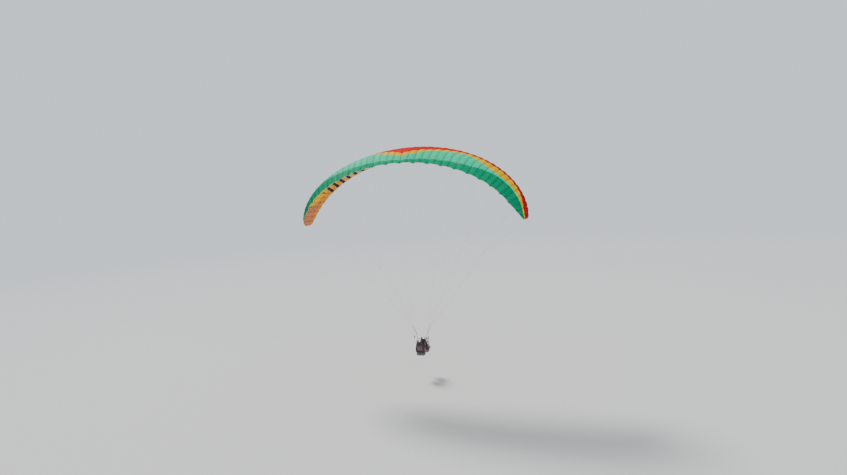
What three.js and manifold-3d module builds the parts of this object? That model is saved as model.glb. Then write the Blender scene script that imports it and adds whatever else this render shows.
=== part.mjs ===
// A two-seat paraglider: a ram-air canopy, its suspension lines, risers, spreaders and
// two harnesses. Millimetres, +Z up. It flies towards -Y, and +X is the crew's left.
// The origin lies inside the canopy's centre rib, on its chord line, 30% of the chord
// behind the leading edge.

import * as THREE from 'three';
import { mergeVertices } from 'three/addons/utils/BufferGeometryUtils.js';
import Module from 'manifold-3d';

const { Vector3, Shape, Path } = THREE;
const wasm = await Module();
wasm.setup();

// Driving dimensions

const CLEAR = 0.3;                    // gap between pieces that touch
const EYE_CLEAR = 0.5;                // room round a ring's wire inside a webbing eye
const SIDES = [{ name: 'left', sign: 1 }, { name: 'right', sign: -1 }];

// The canopy's arch is an ellipse seen from the front, cut just short of its ends.
const ARCH = { halfSpan: 5700, height: 3660, endAngle: 0.95 * Math.PI / 2, steps: 400 };
const PLAN = { rootChord: 3150, tipRatio: 0.12, taper: 2.15, sweep: 1100, datum: 0.30 };
const AIRFOIL = { thickness: 0.15, camber: 0.10, upper: 1.05, lower: 0.85, halfEdge: 3 };
const BRAKED = { angle: 36 * Math.PI / 180, from: 0.78, curl: 1.4, between: 0.9, fadeFrom: 1.1, fadeOver: 0.22 };

// Cells are counted outwards from the centre rib, and narrow towards the tips.
const CELLS = { perSide: 22, perGroup: 4, centreWidth: 1.12, balloon: 0.06 };
const INTAKE = { from: 0.015, to: 0.045, depth: 0.45, lastRib: 17 };
const CHORD_STATIONS = [0, 0.015, 0.045, 0.09, 0.18, 0.33, 0.46, 0.60, 0.78, 0.89, 1];

// Each row of lines: its place on the chord and on the riser. A main line forks into
// two, and those fork again, to the ribs that are bracketed together.
const LINE_ROWS = [
  { name: 'a', chord: 0.09, riserY: -75 },
  { name: 'b', chord: 0.33, riserY: 0 },
  { name: 'c', chord: 0.60, riserY: 75 },
];
const LINE_FANS = [[[1, 3], [5, 7]], [[9, 11], [13, 15]], [[17, 19], [21]]];
const BRAKE_FANS = [[[2, 4], [6, 8]], [[10, 12], [14, 16]], [[18, 20]]];
const FORKS = { main: 0.62, upper: 0.84, brakeRoot: 0.45, brakeMain: 0.68, brakeUpper: 0.86 };
const LINE = { thick: 2.4, forkHeight: 6, topGap: 0.5 };

// Hardware. The hang axis runs through the lower bends of the main carabiners.
const HANG = { halfSpread: 240, y: 500, z: -9350 };
const CARABINER = { bend: 25, straight: 50, wire: 5, segments: 8, wireSides: 6 };
const QUICK_LINK = { bend: 12, wire: 2.5, segments: 12, wireSides: 5 };
const EYE_SIDES = 12;
const RISER = { lean: 22 * Math.PI / 180, length: 430, width: 18, thick: 3, wall: 3 };
const BRAKE_RING = { bend: 9, wire: 3, height: 330, y: 100, tab: 8 };
const HANDLE = { drop: 260, bend: 38, straight: 60, thick: 4, width: 25 };

// The spreader's two arms drop from its top eye to an eye at each end.
const SPREADER = { reach: 300, drop: 190, armStart: 52, width: 26, thick: 6, neck: 18, wall: 3.5 };

// Harness sizes, measured from its hinge, with the front towards -Y.
const SEAT = { front: -250, rear: 90, top: -410, bottom: -470 };
const CUSHION = { front: -120, rear: 40, rise: 8 };
const SIDE_PANEL = { thick: 6, eyeWall: 3.5 };
const BACK = { lean: 12 * Math.PI / 180, thick: 45, top: 110, shoulder: 150, waistTop: -200 };
const PROTECTOR = { halfWidth: 200, depth: 170 };
const POCKET = { halfWidth: 150, bottom: -380, top: -90, depth: 60 };
const SHOULDER_STRAP = { width: 44, thick: 9, foot: 0.8 };
const CHEST_STRAP = { width: 25, thick: 3, z: -150 };
const LEG_STRAP = { x: 105, y: -150, radius: 75, width: 38, thick: 4 };
const HARNESSES = [
  { name: 'pilot', end: 1, pocket: true },
  { name: 'passenger', end: -1, pocket: false },
];

// Colours, roughness and metalness
const MATERIALS = {
  cloth: { color: 0x1fb886, roughness: 0.6, metalness: 0 },
  line_a: { color: 0xb03a30, roughness: 0.7, metalness: 0 },
  line_bc: { color: 0xd9c27a, roughness: 0.7, metalness: 0 },
  line_brake: { color: 0xd98032, roughness: 0.7, metalness: 0 },
  webbing: { color: 0x22242a, roughness: 0.8, metalness: 0 },
  alloy: { color: 0xb9bdc2, roughness: 0.35, metalness: 1 },
  brake_red: { color: 0xb32b26, roughness: 0.8, metalness: 0 },
  pad: { color: 0x2b2f38, roughness: 0.9, metalness: 0 },
  protector: { color: 0x3a3f48, roughness: 0.9, metalness: 0 },
};

// Solids

function toSolid(geometry) {
  const bare = geometry.clone();
  bare.deleteAttribute('normal');
  bare.deleteAttribute('uv');
  const merged = mergeVertices(bare, 1e-3);
  const mesh = new wasm.Mesh({
    numProp: 3,
    vertProperties: new Float32Array(merged.attributes.position.array),
    triVerts: new Uint32Array(merged.index.array),
  });
  return new wasm.Manifold(mesh);
}

function toGeometry(solid) {
  const mesh = solid.getMesh();
  const geometry = new THREE.BufferGeometry();
  geometry.setAttribute('position', new THREE.BufferAttribute(new Float32Array(mesh.vertProperties), 3));
  geometry.setIndex(new THREE.BufferAttribute(new Uint32Array(mesh.triVerts), 1));
  geometry.computeVertexNormals();
  return geometry;
}

function union(geometries) {
  return toGeometry(geometries.map(toSolid).reduce((sum, next) => sum.add(next)));
}

function closedMesh(points, triangles) {
  let volume = 0;
  for (const [a, b, c] of triangles) {
    volume += points[a].dot(new Vector3().crossVectors(points[b], points[c]));
  }
  const facing = volume > 0 ? triangles : triangles.map(([a, b, c]) => [a, c, b]);
  const geometry = new THREE.BufferGeometry();
  geometry.setFromPoints(points);
  geometry.setIndex(facing.flat());
  geometry.computeVertexNormals();
  return geometry;
}

// Skins a row of rings with the same number of points. A closed row joins its ends, and
// an open one gets the end faces that capTriangles lists.
function loft(rings, capTriangles) {
  const count = rings[0].length;
  const triangles = [];
  const quads = capTriangles ? rings.length - 1 : rings.length;
  for (let i = 0; i < quads; i++) {
    const here = i * count;
    const next = ((i + 1) % rings.length) * count;
    for (let j = 0; j < count; j++) {
      const k = (j + 1) % count;
      triangles.push([here + j, here + k, next + k], [here + j, next + k, next + j]);
    }
  }
  if (capTriangles) {
    const last = (rings.length - 1) * count;
    for (const [a, b, c] of capTriangles) {
      triangles.push([c, b, a], [last + a, last + b, last + c]);
    }
  }
  return closedMesh(rings.flat(), triangles);
}

// An outline in the YZ plane, given thickness along X about its middle
function plate(outline, thick) {
  const shape = new Shape(outline.map(([y, z]) => new THREE.Vector2(y, z)));
  const geometry = new THREE.ExtrudeGeometry(shape, { depth: thick, bevelEnabled: false });
  geometry.translate(0, 0, -thick / 2);
  geometry.rotateX(Math.PI / 2).rotateZ(Math.PI / 2);
  return geometry;
}

// A flat strap in the YZ plane between two points [y, z]
function strap([y0, z0], [y1, z1], width, thick) {
  const geometry = new THREE.BoxGeometry(thick, width, Math.hypot(y1 - y0, z1 - z0));
  geometry.rotateX(-Math.atan2(y1 - y0, z1 - z0));
  geometry.translate(0, (y0 + y1) / 2, (z0 + z1) / 2);
  return geometry;
}

// A strap swept along a 3-D route, with its width along the given directions
function band(route, across, width, thick) {
  const rings = route.map((point, i) => {
    const ahead = route[Math.min(i + 1, route.length - 1)];
    const behind = route[Math.max(i - 1, 0)];
    const along = new Vector3().subVectors(ahead, behind).normalize();
    const wide = across(i / (route.length - 1));
    wide.addScaledVector(along, -wide.dot(along)).normalize();
    const deep = new Vector3().crossVectors(along, wide);
    return [[1, 1], [-1, 1], [-1, -1], [1, -1]].map(([w, t]) =>
      point.clone().addScaledVector(wide, w * width / 2).addScaledVector(deep, t * thick / 2));
  });
  return loft(rings, [[0, 1, 2], [0, 2, 3]]);
}

// Webbing folded round a ring's wire. Its middle lies half the bend's sagitta inside the
// crown of the bend, so that it fits at any lean.
function eyeSizes(ring, width) {
  const sagitta = ring.bend - Math.sqrt(ring.bend ** 2 - width ** 2 / 4);
  const slant = Math.asin(width / 2 / ring.bend);
  return { reach: ring.bend - sagitta / 2, hole: sagitta / 2 + ring.wire / Math.cos(slant) + EYE_CLEAR };
}

function eye(ring, width, wall) {
  const { hole } = eyeSizes(ring, width);
  const shape = new Shape();
  shape.absarc(0, 0, hole + wall, 0, 2 * Math.PI, false);
  const bore = new Path();
  bore.absarc(0, 0, hole / Math.cos(Math.PI / EYE_SIDES), 0, 2 * Math.PI, true);
  shape.holes.push(bore);
  const round = { depth: width, bevelEnabled: false, curveSegments: EYE_SIDES / 2 };
  const geometry = new THREE.ExtrudeGeometry(shape, round);
  geometry.translate(0, 0, -width / 2).rotateX(Math.PI / 2);
  return geometry;
}

// A carabiner's ring in the YZ plane, its lower bend centred on the origin
function carabinerRing({ bend, straight, wire, segments, wireSides }) {
  const rings = [];
  for (const [centre, start] of [[straight, 0], [0, Math.PI]]) {
    for (let i = 0; i <= segments; i++) {
      const angle = start + Math.PI * i / segments;
      rings.push(Array.from({ length: wireSides }, (_, j) => {
        const turn = 2 * Math.PI * j / wireSides;
        const radius = bend + wire * Math.cos(turn);
        return new Vector3(wire * Math.sin(turn), radius * Math.cos(angle), centre + radius * Math.sin(angle));
      }));
    }
  }
  return loft(rings);
}

// Canopy shape

const archTable = [{ length: 0, angle: 0 }];
for (let i = 1; i <= ARCH.steps; i++) {
  const angle = ARCH.endAngle * i / ARCH.steps;
  const middle = ARCH.endAngle * (i - 0.5) / ARCH.steps;
  const speed = Math.hypot(ARCH.halfSpan * Math.cos(middle), ARCH.height * Math.sin(middle));
  archTable.push({ length: archTable[i - 1].length + speed * ARCH.endAngle / ARCH.steps, angle });
}
const HALF_ARC = archTable[ARCH.steps].length;

// The arch's point and outward normal at a fraction of its half length
function archAt(station) {
  const length = Math.abs(station) * HALF_ARC;
  const side = Math.sign(station) || 1;
  const i = Math.min(ARCH.steps, Math.max(1, archTable.findIndex((row) => row.length >= length)));
  const [low, high] = [archTable[i - 1], archTable[i]];
  const angle = low.angle + (high.angle - low.angle) * (length - low.length) / (high.length - low.length);
  const normal = [ARCH.height * Math.sin(angle), ARCH.halfSpan * Math.cos(angle)];
  const size = Math.hypot(...normal);
  return {
    x: side * ARCH.halfSpan * Math.sin(angle),
    z: -ARCH.height * (1 - Math.cos(angle)),
    nx: side * normal[0] / size,
    nz: normal[1] / size,
  };
}

function ribStation(rib) {
  const t = rib / CELLS.perSide;
  return t * (CELLS.centreWidth - (CELLS.centreWidth - 1) * t * t);
}

function chordAt(station) {
  const fill = Math.max(0, 1 - Math.abs(station) ** PLAN.taper) ** (1 / PLAN.taper);
  return PLAN.rootChord * (PLAN.tipRatio + (1 - PLAN.tipRatio) * fill);
}

function airfoil(u, upper) {
  const half = 5 * AIRFOIL.thickness
    * (0.2969 * Math.sqrt(u) - 0.1260 * u - 0.3516 * u ** 2 + 0.2843 * u ** 3 - 0.1036 * u ** 4);
  const camber = AIRFOIL.camber * u * (1 - u) * (1 - 0.75 * u);
  return camber + (upper ? AIRFOIL.upper : -AIRFOIL.lower) * half;
}

// How far the brakes pull the rear of the section down, as a fraction of the chord
function brakePull(u, station, rib) {
  const past = Math.max(0, u - BRAKED.from);
  const tail = 1 - BRAKED.from;
  const fade = Math.min(1, Math.max(0, (BRAKED.fadeFrom - Math.abs(station)) / BRAKED.fadeOver));
  const held = Math.abs(rib) % 2 === 0 ? 1 : BRAKED.between;
  return -Math.tan(BRAKED.angle) * past ** BRAKED.curl / tail ** (BRAKED.curl - 1) * fade * held;
}

// A point on the skin, or some way out from it
function skinPoint(rib, u, upper, out = 0, shift = 0) {
  const station = ribStation(rib) + shift / HALF_ARC;
  const arch = archAt(station);
  const chord = chordAt(station);
  const height = chord * (airfoil(u, upper) + brakePull(u, station, rib))
    + (upper ? 1 : -1) * (AIRFOIL.halfEdge + out);
  const y = PLAN.sweep * station ** 2 + (u - PLAN.datum) * chord;
  return new Vector3(arch.x + arch.nx * height, y, arch.z + arch.nz * height);
}

// One section's ring of points: along the top skin, then back along the bottom skin.
// Between two ribs the skins balloon out, and the intake is sunk into the nose.
function section(rib, shift) {
  const betweenRibs = rib % 1 !== 0;
  const cellWidth = (ribStation(Math.abs(rib) + 0.5) - ribStation(Math.abs(rib) - 0.5)) * HALF_ARC;
  const point = (u, upper) => {
    let out = betweenRibs ? CELLS.balloon * cellWidth * Math.sqrt(Math.sin(Math.PI * u) + 1e-9) : 0;
    const inIntake = betweenRibs && !upper && Math.abs(rib) < INTAKE.lastRib
      && u >= INTAKE.from && u <= INTAKE.to;
    if (inIntake) out = INTAKE.depth * chordAt(ribStation(rib)) * airfoil(u, false);
    return skinPoint(rib, u, upper, out, shift);
  };
  return [
    ...CHORD_STATIONS.map((u) => point(u, true)),
    ...CHORD_STATIONS.toReversed().map((u) => point(u, false)),
  ];
}

function cellGroup(firstRib, lastRib) {
  const rings = [];
  for (let rib = firstRib; rib <= lastRib; rib += 0.5) {
    const shift = rib === firstRib ? CLEAR / 2 : rib === lastRib ? -CLEAR / 2 : 0;
    rings.push(section(rib, shift));
  }
  const count = 2 * CHORD_STATIONS.length;
  const cap = [];
  for (let j = 0; j < CHORD_STATIONS.length - 1; j++) {
    cap.push([j, j + 1, count - 2 - j], [j, count - 2 - j, count - 1 - j]);
  }
  return loft(rings, cap);
}

// Lines

// A tree of four-sided lines as one closed mesh. Every fork is a small block with a face
// on top for each branch. A branch that holds nothing more ends flat under the skin.
// Branches are listed from the wing's middle outwards.
function lineMesh(root) {
  const points = [];
  const triangles = [];
  const add = (base, ...offsets) => {
    const point = base.clone();
    offsets.forEach(([direction, distance]) => point.addScaledVector(direction, distance));
    return points.push(point) - 1;
  };
  const quad = (a, b, c, d) => triangles.push([a, b, c], [a, c, d]);
  const half = LINE.thick / 2;

  // Returns the four corners of the node's lower face
  const grow = (node, from, lastSpread) => {
    const axis = node.normal ?? new Vector3().subVectors(node.at, from).normalize();
    const spread = node.branches?.length > 1
      ? new Vector3().subVectors(node.branches.at(-1).at, node.branches[0].at)
      : lastSpread.clone();
    spread.addScaledVector(axis, -spread.dot(axis)).normalize();
    const deep = new Vector3().crossVectors(axis, spread);
    const drop = node.branches ? -LINE.forkHeight / 2 : 0;
    const lower = [[-1, -1], [1, -1], [1, 1], [-1, 1]].map(([s, d]) =>
      add(node.at, [axis, drop], [spread, s * half], [deep, d * half]));
    if (!node.branches) {
      quad(...lower);
      return lower;
    }

    const count = node.branches.length;
    const [front, back] = [-half, half].map((depth) => Array.from({ length: count + 1 }, (_, i) =>
      add(node.at, [axis, -drop], [spread, (2 * i - count) * half], [deep, depth])));
    triangles.push([lower[0], lower[1], front[count]], [lower[2], lower[3], back[0]]);
    quad(lower[1], lower[2], back[count], front[count]);
    quad(lower[3], lower[0], front[0], back[0]);
    node.branches.forEach((branch, i) => {
      triangles.push([lower[0], front[i + 1], front[i]], [lower[2], back[i], back[i + 1]]);
      const foot = [front[i], front[i + 1], back[i + 1], back[i]];
      const head = grow(branch, node.at, spread);
      foot.forEach((corner, k) => {
        const next = (k + 1) % 4;
        quad(corner, foot[next], head[next], head[k]);
      });
    });
    return lower;
  };

  quad(...grow(root, root.at.clone().sub(root.up), root.spread).reverse());
  return closedMesh(points, triangles);
}

// Where a line ends under a rib, just below the skin
function lineTop(rib, chord) {
  const arch = archAt(ribStation(rib));
  return { at: skinPoint(rib, chord, false, LINE.topGap), normal: new Vector3(arch.nx, 0, arch.nz) };
}

const leaves = (node) => (node.branches ? node.branches.flatMap(leaves) : [node.at]);

function between(start, ends, share) {
  const middle = new Vector3();
  ends.forEach((point) => middle.addScaledVector(point, 1 / ends.length));
  return middle.lerp(start, 1 - share);
}

// The branches above a root: a main line for each fan, forking twice on its way to the ribs
function branchesOf(sign, root, fans, chord, mainAt, upperAt) {
  return fans.map((fan) => {
    const branches = fan.map((ribs) => {
      const tops = ribs.map((rib) => lineTop(sign * rib, chord));
      return { at: between(root, tops.map((top) => top.at), upperAt), branches: tops };
    });
    return { at: between(root, branches.flatMap(leaves), mainAt), branches };
  });
}

// The riser's own frame: it leans outwards from the crown of the main carabiner.
const carabinerEye = eyeSizes(CARABINER, RISER.width);

function riserFrame(sign) {
  const place = new THREE.Matrix4().makeRotationY(sign * RISER.lean);
  const foot = HANG.z + CARABINER.straight + carabinerEye.reach;
  return place.setPosition(sign * HANG.halfSpread, HANG.y, foot);
}

// Where a row's lines start, just above their quick link
function lineFoot(sign, row) {
  const linkTop = RISER.length + 2 * QUICK_LINK.bend + QUICK_LINK.wire;
  return new Vector3(0, row.riserY, linkTop + CLEAR + LINE.forkHeight / 2).applyMatrix4(riserFrame(sign));
}

const riserUp = (sign) => new Vector3(0, 0, 1).transformDirection(riserFrame(sign));

function rowOfLines(sign, row) {
  const at = lineFoot(sign, row);
  const branches = branchesOf(sign, at, LINE_FANS, row.chord, FORKS.main, FORKS.upper);
  return lineMesh({ at, branches, up: riserUp(sign), spread: new Vector3(sign, 0, 0) });
}

function brakeRingCentre(sign) {
  return new Vector3(0, BRAKE_RING.y, BRAKE_RING.height).applyMatrix4(riserFrame(sign));
}

// The brake line hangs from its ring down to the handle, and forks above the ring.
function brakeLines(sign) {
  const ring = brakeRingCentre(sign);
  const ribs = BRAKE_FANS.flat(2).map((rib) => lineTop(sign * rib, 1).at);
  const rootAt = between(ring, ribs, FORKS.brakeRoot);
  const share = (at) => (at - FORKS.brakeRoot) / (1 - FORKS.brakeRoot);
  const branches = branchesOf(sign, rootAt, BRAKE_FANS, 1, share(FORKS.brakeMain), share(FORKS.brakeUpper));
  return lineMesh({
    at: ring.clone().add(new Vector3(0, 0, LINE.forkHeight / 2 - HANDLE.drop)),
    branches: [{ at: ring, branches: [{ at: rootAt, branches }] }],
    up: new Vector3(0, 0, 1),
    spread: new Vector3(sign, 0, 0),
  });
}

// Risers, brake rings and handles

const strapFoot = [0, carabinerEye.hole + RISER.wall / 2];
const riserStrap = (riserY) => [strapFoot, [riserY, RISER.length + QUICK_LINK.wire]];

// Three straps from the carabiner's eye, each with its quick link on top
function riser() {
  const pieces = [eye(CARABINER, RISER.width, RISER.wall)];
  for (const { riserY } of LINE_ROWS) {
    const { bend, wire, wireSides, segments } = QUICK_LINK;
    const link = new THREE.TorusGeometry(bend, wire, wireSides, segments).rotateY(Math.PI / 2);
    pieces.push(
      strap(...riserStrap(riserY), RISER.width, RISER.thick),
      link.translate(0, riserY, RISER.length + bend),
    );
  }
  return union(pieces);
}

// The ring that guides the brake line, on a tab behind the rear strap
function brakeRing() {
  const [, strapTop] = riserStrap(LINE_ROWS[2].riserY);
  const rise = strapTop[1] - strapFoot[1];
  const halfWidth = RISER.width / 2 * Math.hypot(strapTop[0], rise) / rise;
  const tabTop = BRAKE_RING.height + BRAKE_RING.tab / 2;
  const tabFront = strapTop[0] * (tabTop - strapFoot[1]) / rise + halfWidth + CLEAR;
  const ringFront = BRAKE_RING.y - BRAKE_RING.bend;
  const tab = new THREE.BoxGeometry(RISER.thick, ringFront - tabFront, BRAKE_RING.tab);
  tab.translate(0, (ringFront + tabFront) / 2, BRAKE_RING.height);
  const ring = new THREE.TorusGeometry(BRAKE_RING.bend, BRAKE_RING.wire, 5, 12);
  ring.translate(0, BRAKE_RING.y, BRAKE_RING.height);
  return union([ring, tab]);
}

// A hand loop of webbing that hangs from its top
function brakeHandle() {
  const outline = (half) => {
    const path = new Path();
    path.absarc(0, -HANDLE.bend, half, 0, Math.PI, false);
    path.absarc(0, -HANDLE.bend - HANDLE.straight, half, Math.PI, 2 * Math.PI, false);
    return path.getPoints(6);
  };
  const shape = new Shape(outline(HANDLE.bend));
  shape.holes.push(new Path(outline(HANDLE.bend - HANDLE.thick).reverse()));
  const geometry = new THREE.ExtrudeGeometry(shape, { depth: HANDLE.width, bevelEnabled: false });
  geometry.translate(0, 0, -HANDLE.width / 2);
  geometry.rotateX(Math.PI / 2).rotateZ(Math.PI / 2);
  return geometry;
}

// Spreader, about its hinge in the lower bend of the main carabiner

const spreaderEye = eyeSizes(CARABINER, SPREADER.neck);

function spreader() {
  const { reach, drop, armStart, width, thick, neck, wall } = SPREADER;
  const endZ = -drop + armStart;
  const overlap = spreaderEye.hole + wall / 2;
  const pieces = [
    eye(CARABINER, neck, wall).translate(0, 0, -spreaderEye.reach),
    strap([0, -spreaderEye.reach - overlap], [0, -armStart], neck, thick),
  ];
  for (const end of [-1, 1]) {
    const endEye = -drop + spreaderEye.reach;
    pieces.push(
      strap([0, -armStart], [end * reach, endZ], width, thick),
      strap([end * reach, endEye + overlap], [end * reach, endZ + width / 2], neck, thick),
      eye(CARABINER, neck, wall).translate(0, end * reach, endEye),
    );
  }
  return union(pieces);
}

// Harness, about its hinge in the upper bend of its carabiners

const panelInside = HANG.halfSpread - SIDE_PANEL.thick / 2;
const backAt = (z) => SEAT.rear - BACK.thick + (z - SEAT.top) * Math.tan(BACK.lean);

// One side: the main strap from its eye, widening into the panel beside the seat
function sidePanel() {
  const eyeZ = -CARABINER.straight - spreaderEye.reach;
  const outline = [
    [-9, eyeZ - spreaderEye.hole - 1], [-14, -190], [-40, -290], [-120, -370], [SEAT.front + 10, SEAT.top],
    [SEAT.front + 10, SEAT.bottom], [SEAT.rear, SEAT.bottom], [SEAT.rear, SEAT.top],
    [backAt(BACK.waistTop) + 20, BACK.waistTop - 40], [backAt(BACK.waistTop) - 25, BACK.waistTop - 30],
    [60, -260], [22, -190], [9, eyeZ - spreaderEye.hole - 1],
  ];
  return union([
    eye(CARABINER, SPREADER.neck, SIDE_PANEL.eyeWall).translate(0, 0, eyeZ),
    plate(outline, SIDE_PANEL.thick),
  ]);
}

// The cushion stands proud of the seat between the leg loops and the back.
function seat() {
  const raised = SEAT.top + CUSHION.rise;
  const outline = [
    [SEAT.front, SEAT.bottom], [SEAT.rear, SEAT.bottom], [SEAT.rear, SEAT.top], [CUSHION.rear, SEAT.top],
    [CUSHION.rear, raised], [CUSHION.front, raised], [CUSHION.front, SEAT.top], [SEAT.front, SEAT.top],
  ];
  return plate(outline, 2 * (panelInside - CLEAR));
}

// The back leans to the rear and narrows to the shoulders.
function back() {
  const foot = SEAT.top + CLEAR;
  const side = [
    [backAt(foot), foot], [backAt(foot) + BACK.thick, foot],
    [backAt(BACK.top) + BACK.thick, BACK.top], [backAt(BACK.top), BACK.top],
  ];
  const half = panelInside - CLEAR;
  const front = new Shape([
    [-half, foot - 50], [half, foot - 50], [half, BACK.waistTop], [BACK.shoulder, BACK.top - 70],
    [BACK.shoulder - 30, BACK.top + 50], [30 - BACK.shoulder, BACK.top + 50],
    [-BACK.shoulder, BACK.top - 70], [-half, BACK.waistTop],
  ].map(([x, z]) => new THREE.Vector2(x, z)));
  const mask = new THREE.ExtrudeGeometry(front, { depth: 1000, bevelEnabled: false });
  mask.translate(0, 0, -500).rotateX(Math.PI / 2);
  return toGeometry(toSolid(plate(side, 2 * half)).intersect(toSolid(mask)));
}

function protector() {
  const top = SEAT.bottom - CLEAR;
  const low = top - PROTECTOR.depth;
  const outline = [
    [SEAT.front + 30, top], [SEAT.rear + 10, top], [SEAT.rear + 50, top - 35], [SEAT.rear + 50, top - 95],
    [SEAT.rear - 10, low], [SEAT.front + 140, low], [SEAT.front + 50, top - 90],
  ];
  return plate(outline, 2 * PROTECTOR.halfWidth);
}

// The rear pocket lies on the back's rear face.
function pocket() {
  const rear = (z) => backAt(z) + BACK.thick + CLEAR / Math.cos(BACK.lean);
  const { bottom, top, depth } = POCKET;
  const outline = [
    [rear(bottom), bottom], [rear(bottom) + depth, bottom + 30],
    [rear(top) + depth * 0.7, top - 40], [rear(top), top],
  ];
  return plate(outline, 2 * POCKET.halfWidth);
}

// From the top of the back, over the shoulder and down inside the side panel
function shoulderStrap(sign) {
  const topY = backAt(BACK.top) + BACK.thick / 2;
  const footX = panelInside - SHOULDER_STRAP.foot - SHOULDER_STRAP.thick / 2;
  const bends = [
    [95, topY, BACK.top + CLEAR], [95, topY, BACK.top + 20], [96, topY - 50, BACK.top + 62],
    [100, 110, 158], [108, 25, 118], [124, -30, 30], [150, -45, -70], [185, -42, -160],
    [220, -30, -230], [footX, -15, -280], [footX, -15, -300], [footX, -15, -330],
  ];
  const route = bends.map(([x, y, z]) => new Vector3(sign * x, y, z));
  const across = (t) => {
    const turned = Math.min(1, Math.max(0, (t - 0.5) / 0.25));
    return new Vector3(sign * (1 - turned), -turned, 0);
  };
  return band(route, across, SHOULDER_STRAP.width, SHOULDER_STRAP.thick);
}

function chestStrap() {
  const half = [[panelInside - CLEAR, 0], [panelInside - 8, 0], [222, -55], [190, -100], [140, -130], [70, -148], [0, -152]];
  const bends = [...half, ...half.slice(0, -1).reverse().map(([x, y]) => [-x, y])];
  const route = bends.map(([x, y]) => new Vector3(x, y, CHEST_STRAP.z));
  return band(route, () => new Vector3(0, 0, 1), CHEST_STRAP.width, CHEST_STRAP.thick);
}

// A thigh loop that stands on the seat
function legStrap(sign) {
  const { radius, thick, width } = LEG_STRAP;
  const shape = new Shape();
  shape.absarc(0, 0, radius, 0, 2 * Math.PI, false);
  const hole = new Path();
  hole.absarc(0, 0, radius - thick, 0, 2 * Math.PI, true);
  shape.holes.push(hole);
  const geometry = new THREE.ExtrudeGeometry(shape, { depth: width, bevelEnabled: false, curveSegments: 8 });
  geometry.translate(0, 0, -width / 2).rotateX(Math.PI / 2);
  return geometry.translate(sign * LEG_STRAP.x, LEG_STRAP.y, SEAT.top + radius + CLEAR);
}

// The assembly

const group = new THREE.Group();

function addPiece(parent, name, geometry, material) {
  const mesh = new THREE.Mesh(geometry, new THREE.MeshStandardMaterial(MATERIALS[material]));
  mesh.name = name;
  parent.add(mesh);
  return mesh;
}

function addCanopy() {
  const halfCentre = CELLS.perGroup / 2;
  addPiece(group, 'canopy_centre', cellGroup(-halfCentre, halfCentre), 'cloth');
  const groupsPerSide = (CELLS.perSide - halfCentre) / CELLS.perGroup;
  for (let i = 0; i < groupsPerSide; i++) {
    const inner = halfCentre + i * CELLS.perGroup;
    const outer = inner + CELLS.perGroup;
    addPiece(group, `canopy_left_${i + 1}`, cellGroup(inner, outer), 'cloth');
    addPiece(group, `canopy_right_${i + 1}`, cellGroup(-outer, -inner), 'cloth');
  }
}

function addRigging({ name, sign }) {
  for (const row of LINE_ROWS) {
    const material = row.name === 'a' ? 'line_a' : 'line_bc';
    addPiece(group, `lines_${row.name}_${name}`, rowOfLines(sign, row), material);
  }
  addPiece(group, `lines_brake_${name}`, brakeLines(sign), 'line_brake');

  const onRiser = new THREE.Group();
  onRiser.applyMatrix4(riserFrame(sign));
  group.add(onRiser);
  addPiece(onRiser, `riser_${name}`, riser(), 'webbing');
  addPiece(onRiser, `brake_ring_${name}`, brakeRing(), 'alloy');

  const handle = addPiece(group, `brake_handle_${name}`, brakeHandle(), 'brake_red');
  handle.position.copy(brakeRingCentre(sign)).add(new Vector3(0, 0, -HANDLE.drop - CLEAR));

  const carabiner = addPiece(group, `main_carabiner_${name}`, carabinerRing(CARABINER), 'alloy');
  carabiner.position.set(sign * HANG.halfSpread, HANG.y, HANG.z);
  const bar = addPiece(group, `spreader_${name}`, spreader(), 'webbing');
  bar.position.copy(carabiner.position);
}

function addHarness({ name, end, pocket: hasPocket }) {
  const harness = new THREE.Group();
  harness.position.set(0, HANG.y + end * SPREADER.reach, HANG.z - SPREADER.drop);
  group.add(harness);
  addPiece(harness, `${name}_seat`, seat(), 'pad');
  addPiece(harness, `${name}_back`, back(), 'pad');
  addPiece(harness, `${name}_protector`, protector(), 'protector');
  if (hasPocket) addPiece(harness, `${name}_rear_pocket`, pocket(), 'protector');
  addPiece(harness, `${name}_chest_strap`, chestStrap(), 'webbing');
  for (const { name: side, sign } of SIDES) {
    const carabiner = addPiece(harness, `${name}_carabiner_${side}`, carabinerRing(CARABINER), 'alloy');
    carabiner.position.set(sign * HANG.halfSpread, 0, -CARABINER.straight);
    const panel = addPiece(harness, `${name}_side_panel_${side}`, sidePanel(), 'webbing');
    panel.position.x = sign * HANG.halfSpread;
    addPiece(harness, `${name}_shoulder_strap_${side}`, shoulderStrap(sign), 'webbing');
    addPiece(harness, `${name}_leg_strap_${side}`, legStrap(sign), 'webbing');
  }
}

addCanopy();
SIDES.forEach(addRigging);
HARNESSES.forEach(addHarness);

export default group;
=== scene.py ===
# %% [markdown]
# # A two-seat paraglider
# The part arrives as rigid solids in one shared frame, in metres: +Z is up, the wing flies
# towards -Y and +X is its left. The origin lies inside the centre rib. This lesson dresses
# that frame with cloth, cords, webbing and metal, one piece at a time.

# %% Load the frame and keep its parts by name
import math
import bmesh
import bpy
import numpy as np
from mathutils import Matrix, Vector
from mathutils.bvhtree import BVHTree


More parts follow.
